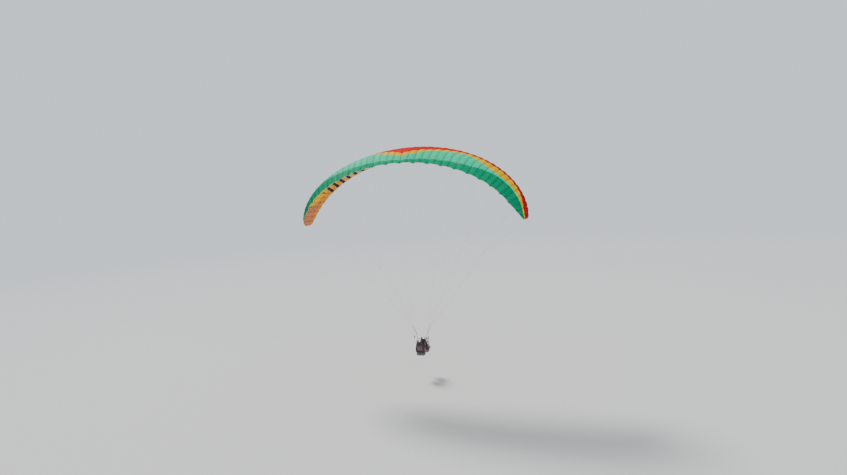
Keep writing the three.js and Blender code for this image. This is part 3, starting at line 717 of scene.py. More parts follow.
def bulge_of(tree, rib, walk, balloon):
    """How far a cell's cloth stands out between its ribs. Each cell is filled a little
    differently, ripples run over all of it, and the rear is puckered."""
    limits = {2: LEAST_FULL, 3: MOST_FULL, "ID": rib.math("FLOOR") + 100, "Seed": 7}
    cell = Wire(tree, add_node(tree, "FunctionNodeRandomValue", limits).outputs[1])
    profile = 1 - abs(remainder(rib, 1.0) * 2 - 1) ** CELL_FLATNESS
    to_rear = at_least(1 - walk * walk, 0)
    past_nose = at_most(abs(walk) * (1 / NOSE_PART), 1)
    fullness = to_rear ** REAR_TAPER * (FULL_AT_NOSE + (1 - FULL_AT_NOSE) * past_nose)
    ripple = noise(tree, combine(tree, rib * 0.9, walk * 7, 0.0), 1.0, 3.0) - 0.5
    pucker = noise(tree, combine(tree, rib * 3.4, walk * 5, 4.0), 1.0, 2.0) - 0.5
    rear = at_least(walk * walk - PUCKER_FROM, 0) * to_rear
    wrinkle = ripple * RIPPLE * to_rear + pucker * rear * PUCKER
    return profile * (fullness * cell_width(abs(rib)) * balloon * cell + wrinkle)


def on_the_cloth(tree, given, geometry, rib, walk):
    """Moves points to their ribs and walks on the cloth, bulge and all."""
    out = bulge_of(tree, rib, walk, given("Balloon"))
    return move_to(tree, geometry, combine(tree, *skin_place(rib, walk, arch_in_nodes(tree, given), out)))


# %% The top and the underside
tree, given = new_tree(
    "ram_air_skin", Balloon=BALLOON, Far_end=1.0, Steps_per_cell=STEPS_PER_CELL, Chord_steps=CHORD_STEPS,
    **ARCH, **TOP_LIP)
columns = given("Steps per cell") * (2 * RIBS) + 1
grid = flat_grid(tree, columns, given("Chord steps"))
flat_x, flat_y, _ = split(tree, add_node(tree, "GeometryNodeInputPosition"))
marked = store(tree, grid, "rib", flat_x * (2 * RIBS))
rib = named(tree, "rib")
lip = lip_walk(rib, given("Lip at rib"), given("Lip at middle"))
far_end = given("Far end")
marked = store(tree, marked, "walk", far_end + (-lip - far_end) * (flat_y + 0.5))
walk = named(tree, "walk")
bent = on_the_cloth(tree, given, marked, rib, walk)
flipped = add_node(tree, "GeometryNodeFlipFaces", {"Mesh": bent, "Selection": far_end})
station = rib_station(rib)
metres = combine(tree, station * HALF_ARC, walk * abs(walk) * chord_at(abs(station)), 0.0)
mapped = store(tree, flipped, "UVMap", metres, **OF_CORNERS)
SKIN_TREE = close_tree(tree, given, smoothed(tree, mapped))

top_skin = run_tree(SKIN_TREE, "canopy_top_skin", TOP_CLOTH)
under_skin = run_tree(SKIN_TREE, "canopy_underside", UNDER_CLOTH, Far_end=-1.0, **UNDER_LIP)
for skin in (top_skin, under_skin):
    skin.data.set_sharp_from_angle(angle=math.radians(CREASE_ANGLE))
    print(skin.name, triangles(skin), "triangles, size", [round(size, 3) for size in skin.dimensions])

# %% [markdown]
# ## Ribs, bindings and line tabs
# A rib of thin cloth stands between the two skins at every seam. Ports in it let the air
# pass from cell to cell, but they don't show, so they aren't cut here. The raw edges of the
# intakes and the trailing edge are bound with tape, and small webbing loops hold the lines.
# All of these repeat, so each is one tree.

# %% The ribs inside the wing and its two closed ends
RIB_STEPS, RIB_ROWS, SHORT_OF_EDGE = 40, 3, 0.999

tree, given = new_tree("sewn_ribs", Ribs=2 * RIBS + 1, **ARCH)
row = add_node(tree, "GeometryNodeMeshLine", {
    "Count": given("Ribs"), "Start Location": (0, 0, -RIBS), "Offset": (0, 0, 1)})
copies = add_node(tree, "GeometryNodeInstanceOnPoints", {
    "Points": row, "Instance": flat_grid(tree, RIB_STEPS, RIB_ROWS)})
real = add_node(tree, "GeometryNodeRealizeInstances", {"Geometry": copies})
along, up, number = split(tree, add_node(tree, "GeometryNodeInputPosition"))
marked = store(tree, real, "rib", number.math("ROUND"))
marked = store(tree, marked, "walk", (along + 0.5) * SHORT_OF_EDGE)
marked = store(tree, marked, "height", up + 0.5)
rib, walk, height = (named(tree, label) for label in ("rib", "walk", "height"))
arch = arch_in_nodes(tree, given)
top, under = skin_place(rib, walk, arch), skin_place(rib, -walk, arch)
between = [low + (high - low) * height for low, high in zip(under, top)]
bent = move_to(tree, marked, combine(tree, *between))
metres = combine(tree, walk * walk * ROOT_CHORD, height * 0.4, 0.0)
SEWN_RIBS = close_tree(tree, given, store(tree, bent, "UVMap", metres, **OF_CORNERS))
ribs = run_tree(SEWN_RIBS, "canopy_ribs", RIB_CLOTH)
print(ribs.name, triangles(ribs), "triangles")

# %% A tree for the tapes along the trailing edge and the intakes
tree, given = new_tree(
    "edge_tape", Balloon=BALLOON, Last_rib=float(RIBS), Lip_at_rib=0.0, Lip_at_middle=0.0, Side=1.0,
    At_rear=1.0, Radius=0.0035, **ARCH)
points, share = even_points(tree, 2 * RIBS * STEPS_PER_CELL + 1)
marked = store(tree, points, "rib", (share * 2 - 1) * given("Last rib"))
rib = named(tree, "rib")
lip = lip_walk(rib, given("Lip at rib"), given("Lip at middle"))
marked = store(tree, marked, "walk", given("Side") * (lip + (1 - lip) * given("At rear")))
bent = on_the_cloth(tree, given, marked, rib, named(tree, "walk"))
EDGE_TAPE = close_tree(tree, given, tube(tree, bent, 6, given("Radius")))
print("tree for the tapes:", EDGE_TAPE.name)

# %% Woven tape and webbing
WEB_ROUGHNESS, THREAD_HEIGHT = 0.75, 0.0006


def woven(name, colour, stitches=()):
    """Webbing or tape, with a herringbone weave along its UV map in metres, and rows of
    stitches as (distance from the middle, colour of the thread)."""
    material, tree, shader = new_material(name, WEB_ROUGHNESS)
    shader.inputs["Sheen Weight"].default_value = 0.2
    place = uv_place(tree)
    u, v, _ = split(tree, place)
    twill = use_group(tree, HERRINGBONE, Across=u, Along=v)
    dirt = noise(tree, place, 40.0, 3.0)
    shade = scaled(tree, colour, twill("Tone") * (0.86 + dirt * 0.28))
    height = twill("Height")
    for off, thread in stitches:
        row = use_group(tree, STITCH_ROW, Across=u, Along=v, Off=off)
        shade = mix_colour(tree, row("Mask"), shade, thread)
        height = height + row("Mask") * THREAD_HEIGHT
    coat(tree, shader, shade, WEB_ROUGHNESS - 0.1 + dirt * 0.2, height)
    return material


HALF_ZIGZAG, TWILL_HIGH, TWILL_SHADE = 0.004, 0.00018, 0.10
group, given, result = new_group(
    "herringbone", {"Across": 0.0, "Along": 0.0, "Pitch": 0.0022}, {"Height": 0.0, "Tone": 0.0})
zigzag = abs(remainder(given("Across"), 2 * HALF_ZIGZAG) - HALF_ZIGZAG)
wave = (((given("Along") + zigzag) / given("Pitch")) * (2 * math.pi)).math("SINE")
result("Height", wave * TWILL_HIGH)
result("Tone", 0.92 + wave * TWILL_SHADE)
HERRINGBONE = group

group, given, result = new_group(
    "stitch_row", {"Across": 0.0, "Along": 0.0, "Off": 0.008, "Half width": 0.0009, "Pitch": 0.0045,
                   "Gap": 0.0014}, {"Mask": 0.0})
near = band(abs(abs(given("Across")) - given("Off")), given("Half width"), 0.0003)
result("Mask", near * dashes(given("Along"), given("Pitch"), given("Gap"), 0.0003))
STITCH_ROW = group

BLACK_WEB, GREY_WEB, RED_WEB = (0.018, 0.019, 0.022), (0.20, 0.21, 0.23), (0.55, 0.03, 0.02)
THREAD_PALE, THREAD_DARK = (0.55, 0.56, 0.58, 1), (0.05, 0.05, 0.055, 1)
TAPE = woven("binding_tape", (0.75, 0.75, 0.72))
AT_INTAKE = {"At_rear": 0.0, "Last_rib": float(LAST_OPEN_RIB)}
rear_tape = run_tree(EDGE_TAPE, "trailing_edge_tape", TAPE)
top_tape = run_tree(EDGE_TAPE, "intake_tape_top", TAPE, **AT_INTAKE, **TOP_LIP)
under_tape = run_tree(EDGE_TAPE, "intake_tape_under", TAPE, Side=-1.0, **AT_INTAKE, **UNDER_LIP)
print("tapes:", rear_tape.name, top_tape.name, under_tape.name)

# %% [markdown]
# ## Suspension lines
# Three rows of sheathed cords and a row of brake cords fan out from each riser. Every main
# cord forks twice on its way to the ribs, and the brake cord once more, and a webbing loop
# holds each end. The cords are laid out as bare edges in Python, with a radius at each point
# that is larger along the sewn sleeves, and a tree gives them their round section.

# %% Places of the risers and the forks
HANG, CARABINER_STRAIGHT, EYE_REACH = Vector((0.240, 0.5, -9.35)), 0.050, 0.02416
LEAN, LINK_TOP, RING_AT, HANDLE_TOP = math.radians(22), 0.4598, Vector((0, 0.100, 0.330)), -9.2302
ROWS = {"a": (0.09, -0.075), "b": (0.33, 0.0), "c": (0.60, 0.075)}
LINE_FANS = (((1, 3), (5, 7)), ((9, 11), (13, 15)), ((17, 19), (21,)))
BRAKE_FANS = (((2, 4), (6, 8)), ((10, 12), (14, 16)), ((18, 20),))
MAIN_FORK, UPPER_FORK = 0.62, 0.84
BRAKE_ROOT, BRAKE_MAIN, BRAKE_UPPER = 0.45, 0.68, 0.86
SLEEVE, SLEEVE_MOST, SLEEVE_FADE, SLEEVE_SWELL, TOP_GAP = 0.055, 0.3, 1.06, 1.7, 0.0015
MAIN_RADIUS, MID_RADIUS, TOP_RADIUS = 0.0012, 0.0010, 0.0008


def riser_frame(side):
    """The riser's own axes: it leans outwards from the crown of the main carabiner."""
    foot = Vector((side * HANG.x, HANG.y, HANG.z + CARABINER_STRAIGHT + EYE_REACH))
    return Matrix.Translation(foot) @ Matrix.Rotation(side * LEAN, 4, "Y")


def flat(nested):
    """All the numbers in nested tuples, in one list."""
    return [item for part in nested for item in flat(part)] if isinstance(nested, tuple) else [nested]


# %% Laying out a fan of cords
def fork(start, tops, share):
    middle = sum(tops, Vector()) / len(tops)
    return start.lerp(middle, share)


def fan_out(side, root, fans, chord_share, shares):
    """Each cord as (start, end, radius), and the places where they meet the cloth."""
    cords, tops = [], []
    top_of = {rib: skin_point(side * rib, chord_share, TOP_GAP) for rib in flat(fans)}
    for fan in fans:
        main = fork(root, [top_of[rib] for rib in flat(fan)], shares[0])
        cords.append((root, main, MAIN_RADIUS))
        for pair in fan:
            upper = fork(root, [top_of[rib] for rib in pair], shares[1])
            cords.append((main, upper, MID_RADIUS))
            cords += [(upper, top_of[rib], TOP_RADIUS) for rib in pair]
            tops += [(upper, top_of[rib]) for rib in pair]
    return cords, tops


def cord_mesh(name, cords):
    """Bare edges with a radius at each point: thicker sleeves where a cord is sewn back."""
    points, edges, radii = [], [], []
    for start, end, radius in cords:
        way = end - start
        sleeve = min(SLEEVE / way.length, SLEEVE_MOST)
        past = sleeve * SLEEVE_FADE
        stops = (0, sleeve, past, 0.5, 1 - past, 1 - sleeve, 1)
        first, thick = len(points), radius * SLEEVE_SWELL
        points += [start + way * stop for stop in stops]
        radii += [thick, thick, radius, radius, radius, thick, thick]
        edges += [(first + k, first + k + 1) for k in range(len(stops) - 1)]
    mesh = bpy.data.meshes.new(name)
    mesh.from_pydata(points, edges, [])
    mesh.attributes.new("radius", "FLOAT", "POINT").data.foreach_set("value", radii)
    return mesh


print("ribs held in a row:", flat(LINE_FANS), "and by a brake:", flat(BRAKE_FANS))

# %% A tree that turns bare edges into cords
tree, given = new_tree("sheathed_cord", Sides=6)
curves = add_node(tree, "GeometryNodeMeshToCurve", {"Mesh": incoming(tree)})
marked = store(tree, curves, "along", add_node(tree, "GeometryNodeSplineParameter").outputs["Length"])
sheath = tube(tree, marked, given("Sides"), 1.0, Scale=named(tree, "radius"))
SHEATHED_CORD = close_tree(tree, given, smoothed(tree, sheath))
STRAND, FLECK_PITCH = 0.003, 0.024


def cord_finish(name, colour, fleck):
    """A braided sheath: coloured strands with a few flecks of a second colour."""
    material, tree, shader = new_material(name, 0.7)
    along = painted(tree, "along")
    braid = ((along / STRAND) * (2 * math.pi)).math("SINE")
    flecks = below(0.35, abs(remainder(along, FLECK_PITCH) / FLECK_PITCH - 0.5), 20.0)
    shade = mix_colour(tree, flecks * 0.8, colour, fleck)
    coat(tree, shader, scaled(tree, shade, 0.94 + braid * 0.06), 0.68 + braid * 0.05, braid * 0.0001)
    return material


RED_CORD = cord_finish("red_cord", (0.55, 0.04, 0.03, 1), (0.75, 0.62, 0.50, 1))
TAN_CORD = cord_finish("tan_cord", (0.62, 0.45, 0.20, 1), (0.35, 0.22, 0.10, 1))
ORANGE_CORD = cord_finish("orange_cord", (0.80, 0.28, 0.04, 1), (0.08, 0.07, 0.07, 1))
print("cord finishes:", RED_CORD.name, TAN_CORD.name, ORANGE_CORD.name)

# %% The eight fans of cords
attached, line_pieces = [], []


def lay_cords(name, cords, finish, slot):
    made = run_tree(SHEATHED_CORD, name + "_cords", finish, cord_mesh(name, cords))
    line_pieces.append((made, slot, name))


for side_name, side in SIDES.items():
    frame_of_riser = riser_frame(side)
    for row_name, (chord_share, riser_y) in ROWS.items():
        root = frame_of_riser @ Vector((0, riser_y, LINK_TOP))
        cords, tops = fan_out(side, root, LINE_FANS, chord_share, (MAIN_FORK, UPPER_FORK))
        attached += tops
        finish, slot = (RED_CORD, "line_front") if row_name == "a" else (TAN_CORD, "line_rear")
        lay_cords(f"lines_{row_name}_{side_name}", cords, finish, slot)
    ring = frame_of_riser @ RING_AT
    ends = [skin_point(side * rib, 1.0, TOP_GAP) for rib in flat(BRAKE_FANS)]
    root = fork(ring, ends, BRAKE_ROOT)
    shares = [(share - BRAKE_ROOT) / (1 - BRAKE_ROOT) for share in (BRAKE_MAIN, BRAKE_UPPER)]
    cords, tops = fan_out(side, root, BRAKE_FANS, 1.0, shares)
    attached += tops
    cords += [(ring, root, MAIN_RADIUS), (Vector((ring.x, ring.y, HANDLE_TOP)), ring, MAIN_RADIUS)]
    lay_cords(f"lines_brake_{side_name}", cords, ORANGE_CORD, "line_brake")
for made, slot, node in line_pieces:
    dress(made, "wing", slot, node)

# %% The loops that hold the cords
SLIMNESS, LOOP_BELOW = 0.45, 0.010
tree, given = new_tree("line_loops", Loop_radius=0.013, Loop_width=0.008, Tape=0.0012)
ring = add_node(tree, "GeometryNodeCurvePrimitiveCircle", {
    "Resolution": 10, "Radius": given("Loop radius")})
slim = add_node(tree, "GeometryNodeTransform", {
    "Geometry": ring, "Rotation": (math.pi / 2, 0, 0), "Scale": (SLIMNESS, 1, 1)})
flat_tape = add_node(tree, "GeometryNodeCurvePrimitiveQuadrilateral", {
    "Width": given("Tape"), "Height": given("Loop width")})
loop = add_node(tree, "GeometryNodeCurveToMesh", {"Curve": slim, "Profile Curve": flat_tape})
turn = add_node(tree, "FunctionNodeAlignRotationToVector", {
    "Vector": named(tree, "towards", "FLOAT_VECTOR")}, axis="Z")
loops = add_node(tree, "GeometryNodeInstanceOnPoints", {
    "Points": incoming(tree), "Instance": loop, "Rotation": turn})
LINE_LOOPS = close_tree(tree, given, loops)

mesh = bpy.data.meshes.new("loop_places")
directions = [(start - end).normalized() for start, end in attached]
mesh.from_pydata([end + way * LOOP_BELOW for (_, end), way in zip(attached, directions)], [], [])
towards = mesh.attributes.new("towards", "FLOAT_VECTOR", "POINT").data
towards.foreach_set("vector", np.array(directions).ravel())
loops = run_tree(LINE_LOOPS, "line_loops", woven("loop_tape", BLACK_WEB), mesh)
print("cords that meet the cloth:", len(attached))

# %% Attaching the wing's pieces, and the area of its cloth
CUT_MORE, CUT_LESS, TOP_CUT, UNDER_CUT = 1.03, 0.98, 3.60, 3.20
dress(ribs, "wing", "cloth")
for made in (rear_tape, top_tape, under_tape, loops):
    dress(made, "wing", "webbing")
dress(under_skin, "wing", "cloth")
groups = [f"canopy_{side_name}_{number}" for side_name in SIDES for number in range(1, 6)]
dress(top_skin, "wing", "cloth", "canopy_centre", *groups)


def cloth_area(made):
    return sum(face.area for face in made.data.polygons)


for skin, cut_length, on_it in (
        (top_skin, TOP_CUT, [top_tape, rear_tape]), (under_skin, UNDER_CUT, [under_tape, loops])):
    print(f"{skin.name}: {cloth_area(skin):.2f} m2, flat {2 * HALF_ARC * CUT_MORE:.2f} m")
print(f"canopy_ribs: {cloth_area(ribs):.2f} m2")

# %% [markdown]
# ## Webbing, rings and turned metal
# Risers, spreaders and harness straps are folded nylon webbing, and the hardware is bent
# wire and turned metal. One function sweeps a section along a route, with its width held in
# a given direction, which serves flat straps and round wire alike. Another turns a profile.

# %% Sections and routes
def web_section(width, thick):
    """Flat webbing with slightly rounded sides, counter-clockwise, as (across, deep)."""
    deep, edge = thick / 2, width / 2 - thick * 0.35
    return [(width / 2, 0), *((across, deep) for across in (edge, edge / 2, 0, -edge / 2, -edge)),
            (-width / 2, 0), *((across, -deep) for across in (-edge, -edge / 2, 0, edge / 2, edge))]


def pad_section(width, thick, sides=20):
    """A stuffed strap: nearly flat faces that roll over at the sides."""
    def soft(value, power):
        return math.copysign(abs(value) ** power, value)
    return [(width / 2 * soft(across, 0.55), thick / 2 * soft(deep, 0.8))
            for across, deep in round_section(1, sides)]


def round_section(radius, sides=12):
    turns = [2 * math.pi * k / sides for k in range(sides)]
    return [(radius * math.cos(turn), radius * math.sin(turn)) for turn in turns]


def circle_route(centre, radius, first, second, steps=32, start=0.0, end=2 * math.pi):
    """Points round an arc in the plane of two directions. A whole turn leaves out its end."""
    first, second, whole = Vector(first), Vector(second), abs(end - start - 2 * math.pi) < 1e-6
    turns = [start + (end - start) * k / steps for k in range(steps if whole else steps + 1)]
    return [Vector(centre) + (first * math.cos(turn) + second * math.sin(turn)) * radius for turn in turns]


def curved(points, steps):
    """A smooth route through the given points, with so many steps from each to the next."""
    points = [Vector(point) for point in points]
    ends = [points[0] * 2 - points[1], *points, points[-1] * 2 - points[-2]]
    route = []
    for a, b, c, d in zip(ends, ends[1:], ends[2:], ends[3:]):
        for t in (k / steps for k in range(steps)):
            route.append(((b * 2) + (c - a) * t + (a * 2 - b * 5 + c * 4 - d) * t * t
                          + (b * 3 - a - c * 3 + d) * t ** 3) / 2)
    return route + [points[-1]]


print("corners of a webbing section:", len(web_section(0.02, 0.003)))


# %% Sweeping and turning
def section_axes(route, k, across, closed=False):
    """Which way a route runs at its point k, and which way its width lies there."""
    last = len(route) - 1
    ahead = route[(k + 1) % len(route) if closed else min(k + 1, last)]
    behind = route[k - 1 if closed or k else 0]
    way = (ahead - behind).normalized()
    wide = Vector(across(k / last) if callable(across) else across)
    return way, (wide - way * wide.dot(way)).normalized()


def sweep(shape, route, across, section, place=Matrix(), closed=False):
    """Adds a swept body to a bmesh. Its UV map holds metres across and metres along."""
    uv = shape.loops.layers.uv.get("UVMap") or shape.loops.layers.uv.new("UVMap")
    route = [Vector(point) for point in route]
    count, along, rings = len(route), 0.0, []
    for k, point in enumerate(route):
        way, wide = section_axes(route, k, across, closed)
        deep = way.cross(wide)
        rings.append([shape.verts.new(place @ (point + wide * w + deep * t)) for w, t in section])
    for k in range(count if closed else count - 1):
        step = (route[(k + 1) % count] - route[k]).length
        here, ahead = rings[k], rings[(k + 1) % count]
        for j in range(len(section)):
            nxt = (j + 1) % len(section)
            face = shape.faces.new((here[j], here[nxt], ahead[nxt], ahead[j]))
            for loop, side, further in zip(face.loops, (j, nxt, nxt, j), (0, 0, step, step)):
                loop[uv].uv = (section[side][0], along + further)
        along += step
    if not closed:
        shape.faces.new(rings[0][::-1])
        shape.faces.new(rings[-1])


def turned(shape, profile, base, axis, sides=24):
    """Adds a body turned round an axis from (radius, height) pairs. It starts and ends on the axis."""
    first = axis.orthogonal().normalized()
    second = axis.cross(first)
    rings = []
    for radius, height in profile:
        centre = base + axis * height
        points = circle_route(centre, radius, first, second, sides) if radius else [centre]
        rings.append([shape.verts.new(point) for point in points])
    for low, high in zip(rings, rings[1:]):
        for j in range(sides):
            nxt = (j + 1) % sides
            corners = [low[j % len(low)], low[nxt % len(low)], high[nxt % len(high)], high[j % len(high)]]
            shape.faces.new(list(dict.fromkeys(corners)))


# %% Finishing a shape
def finish_shape(name, shape, material, body, slot, *nodes, angle=35):
    """Turns a bmesh into a finished piece with smooth faces and crisp edges."""
    bmesh.ops.recalc_face_normals(shape, faces=shape.faces)
    mesh = bpy.data.meshes.new(name)
    shape.to_mesh(mesh)
    shape.free()
    mesh.shade_smooth()
    mesh.set_sharp_from_angle(angle=math.radians(angle))
    mesh.materials.append(material)
    return dress(link_object(name, mesh), body, slot, *nodes)


def finish_rows(body, before, after, *rows):
    """Finishes shapes from rows of (label, shape, finish, slot, nodes). Each full name, of a
    piece or a node, has the same words before and after its label."""
    made = []
    for label, shape, material, slot, *nodes in rows:
        full, *stands_for = (f"{before}{word}{after}" for word in (label, *nodes))
        made.append(finish_shape(full, shape, material, body, slot, *stands_for))
    return made


def shapes(count):
    """New empty shapes, one for each finish that a piece needs."""
    return [bmesh.new() for _ in range(count)]


# %% Metal, webbing and moulded finishes
SCUFF_SCALE, SCUFF_FROM, SCUFF_SHARPNESS, GRAIN_HIGH = 60.0, 0.56, 9, 0.00003
group, given, result = new_group(
    "handling_wear", {"Place": (0.0, 0.0, 0.0), "Amount": 0.5, "Grain": 900.0},
    {"Scratch": 0.0, "Rough": 0.0, "Height": 0.0})
scuffs = noise(group, given("Place"), SCUFF_SCALE, 5.0, (1.0, 1.0, 0.25))
fine = noise(group, given("Place"), given("Grain"), 2.0)
result("Scratch", clamp((scuffs - SCUFF_FROM) * SCUFF_SHARPNESS * given("Amount")))
result("Rough", (scuffs - 0.5) * 0.35 * given("Amount") + (fine - 0.5) * 0.12)
result("Height", (fine - 0.5) * GRAIN_HIGH)
WEAR = group


def worn_metal(name, colour, worn, roughness, metallic=1.0):
    """Anodised or polished metal whose handled edges and faces are scuffed."""
    material, tree, shader = new_material(name, roughness)
    wear = use_group(tree, WEAR, Place=object_place(tree))
    shader.inputs["Metallic"].default_value = metallic
    scuffed = mix_colour(tree, wear("Scratch"), colour, worn)
    coat(tree, shader, scuffed, roughness + wear("Rough"), wear("Height"))
    return material


STEEL = worn_metal("polished_steel", (0.60, 0.61, 0.63, 1), (0.75, 0.75, 0.76, 1), 0.22)
ALLOY = worn_metal("grey_alloy", (0.42, 0.44, 0.47, 1), (0.66, 0.67, 0.69, 1), 0.32)
SLEEVE_METAL = worn_metal("red_anodised", (0.50, 0.03, 0.02, 1), (0.62, 0.55, 0.54, 1), 0.35, 0.85)
MOULDED = worn_metal("moulded_black", (0.022, 0.023, 0.026, 1), (0.09, 0.09, 0.10, 1), 0.48, 0.0)
BLACK_WEBBING = woven("black_webbing", BLACK_WEB, [(0.0060, THREAD_PALE)])
GREY_WEBBING = woven("grey_webbing", GREY_WEB, [(0.0070, THREAD_DARK), (0.0100, THREAD_DARK)])
RED_WEBBING = woven("red_webbing", RED_WEB, [(0.0090, THREAD_PALE)])
print("metal and webbing finishes made, the last is", RED_WEBBING.name)

# %% [markdown]
# ## Risers, quick links, brake rings and handles
# Three webbing straps rise from the main carabiner, each with a steel quick link on top
# that holds its row of cords. The brake cord runs through a ring on the rear strap down to
# a hand loop. The straps stay flat because they are always pulled tight.

# %% Risers and quick links
X, Y, Z = Vector((1, 0, 0)), Vector((0, 1, 0)), Vector((0, 0, 1))
STRAP_WIDTH, STRAP_THICK, STRAP_FOOT, EYE_INSIDE = 0.018, 0.003, 0.0072, 0.0082
STRAP, DOUBLED = web_section(STRAP_WIDTH, STRAP_THICK), web_section(STRAP_WIDTH * 0.98, STRAP_THICK * 1.7)
SEWN_TOP, SEWN_FOOT = (0.80, 0.90, 0.985), (0.035, 0.11, 0.17)
STRAP_SHARES = (0, 0.03, *(k / 12 for k in range(1, 13)))
LINK_AT, LINK_BEND, STRAP_GAP, LINK_WIRE = 0.442, 0.012, 0.004, round_section(0.0025)
LINK_WRAP, WRAP_RADIUS = web_section(0.015, 0.0020), 0.0040
# The nut that closes a link and the two rims beside it: steps, middle and half of the turn, section
LINK_FITTINGS = ((6, 0, 0.5, round_section(0.0042, 6)), (2, -0.58, 0.05, round_section(0.0034)),
                 (2, 0.58, 0.05, round_section(0.0034)))
FOOT_CORD, FEET_APART, FOOT_BEND = round_section(0.0011, 6), 0.0032, (
    Vector((-0.0036, 0, 0.001)), Vector((0, 0, -0.0040)), Vector((0.0036, 0, 0.001)))

for side_name, side in SIDES.items():
    place = riser_frame(side)
    straps, tags, links, feet = shapes(4)
    sweep(straps, circle_route((0, 0, 0), EYE_INSIDE, X, Z), Y, STRAP, place, closed=True)
    for row_name, (_, riser_y) in ROWS.items():
        centre, knot = Vector((0, riser_y, LINK_AT)), Vector((0, riser_y, LINK_TOP))
        wrapped = Vector((0, riser_y, LINK_AT - LINK_BEND))
        foot, top = Z * STRAP_FOOT, Vector((0, riser_y, LINK_AT - LINK_BEND - STRAP_GAP))
        sewn_on = tags if row_name == "a" else straps
        for shape, shares, section in (
                (straps, STRAP_SHARES, STRAP), (sewn_on, SEWN_TOP, DOUBLED), (straps, SEWN_FOOT, DOUBLED)):
            sweep(shape, [foot.lerp(top, share) for share in shares], Y, section, place)
        sweep(straps, circle_route(wrapped, WRAP_RADIUS, X, Z, 16), Y, LINK_WRAP, place, closed=True)
        sweep(links, circle_route(centre, LINK_BEND, Y, Z, 40), X, LINK_WIRE, place, closed=True)
        for steps, turn, half, section in LINK_FITTINGS:
            arc = circle_route(centre, LINK_BEND, Y, Z, steps, turn - half, turn + half)
            sweep(links, arc, X, section, place)
        for offset in (-FEET_APART, 0.0, FEET_APART):
            crown = centre + Vector((0, offset, LINK_BEND - 0.0003))
            bend = curved([crown + step for step in FOOT_BEND], 4)
            sweep(feet, [knot, *bend, knot + Vector((0.0005, 0, 0))], Y, FOOT_CORD, place)
    finish_rows(
        "wing", "", f"_{side_name}", ("riser_straps", straps, BLACK_WEBBING, "webbing", "riser"),
        ("riser_front_tag", tags, RED_WEBBING, "webbing"), ("quick_links", links, STEEL, "alloy"),
        ("cord_feet", feet, TAN_CORD, "line_rear"))

# %% Brake rings and hand loops
GUIDE_RADIUS, GUIDE_WIRE, TAB_WRAP = 0.009, 0.003, 0.0042
TAB_PLACES = (-0.0335, -0.025, -0.016, -0.0125)
HANDLE_BEND, HANDLE_STRAIGHT, HANDLE_WIDTH = 0.036, 0.060, 0.025
SWIVEL = ((0, 0.018), (0.0022, 0.018), (0.0026, 0.014), (0.0052, 0.012), (0.0056, 0.004), (0.0040, 0.002),
          (0.0040, -0.002), (0.0062, -0.003), (0.0060, -0.006), (0, -0.006))

for side_name, side in SIDES.items():
    place = riser_frame(side)
    guide, tab, hand, grip, swivel = shapes(5)
    sweep(guide, circle_route(RING_AT, GUIDE_RADIUS, X, Y), Z, round_section(GUIDE_WIRE), place, closed=True)
    sweep(tab, [RING_AT + Y * y for y in TAB_PLACES], Z, web_section(0.008, 0.003), place)
    near_wire = RING_AT - Y * GUIDE_RADIUS
    sweep(tab, circle_route(near_wire, TAB_WRAP, Y, Z, 16), X, web_section(0.006, 0.0016), place, closed=True)

    ring = place @ RING_AT
    top = Vector((ring.x, ring.y, HANDLE_TOP - 0.002))
    high, low = top - Z * HANDLE_BEND, top - Z * (HANDLE_BEND + HANDLE_STRAIGHT)
    arc_up = circle_route(high, HANDLE_BEND, Y, Z, 14, 0, math.pi)
    arc_down = circle_route(low, HANDLE_BEND, Y, Z, 14, math.pi, 2 * math.pi)
    down = [high.lerp(low, k / 5) for k in range(1, 5)]
    outline = [*arc_up, *(point - Y * HANDLE_BEND for point in down), *arc_down,
               *(point + Y * HANDLE_BEND for point in reversed(down))]
    sweep(hand, outline, X, web_section(HANDLE_WIDTH, 0.004), closed=True)
    sweep(grip, arc_down, X, pad_section(HANDLE_WIDTH + 0.002, 0.008))
    turned(swivel, SWIVEL, top, Z, 16)
    finish_rows(
        "wing", "", f"_{side_name}", ("brake_guide", guide, STEEL, "alloy", "brake_ring"),
        ("brake_guide_tab", tab, BLACK_WEBBING, "webbing"),
        ("hand_loop", hand, RED_WEBBING, "handle", "brake_handle"),
        ("hand_grip", grip, BLACK_WEBBING, "handle"), ("hand_swivel", swivel, MOULDED, "alloy"))

# %% [markdown]
# ## Carabiners and spreaders
# A carabiner is one bent bar with a hinged gate and a locking sleeve. The spreader is a
# stiff, webbing-covered V that hangs under the main carabiner and carries one harness at
# each end, so the two seats hang one behind the other.

# %% Carabiners
BEND, WIRE, GATE_LOW, GATE_HIGH = 0.025, 0.005, 0.003, 0.047
GATE_HOOK = ((0, GATE_HIGH - 0.0035), (0.0052, GATE_HIGH - 0.002), (0.0056, GATE_HIGH + 0.001),
             (0.005, GATE_HIGH + 0.004), (0, GATE_HIGH + 0.0045))
GATE_BAR = ((0, 0.004), (0.0042, 0.004), (0.0042, 0.0445), (0, 0.0445))
KNURL = ((0.0066 - 0.0004 * (k % 2), 0.013 + 0.0012 * k) for k in range(18))
GATE_SLEEVE = ((0, 0.011), (0.0058, 0.011), *KNURL, (0.0058, 0.0365), (0, 0.0365))
HINGE_PIN = ((0, -0.0058), (0.0020, -0.0058), (0.0024, -0.0052), (0.0024, 0.0052), (0.0020, 0.0058),
             (0, 0.0058))


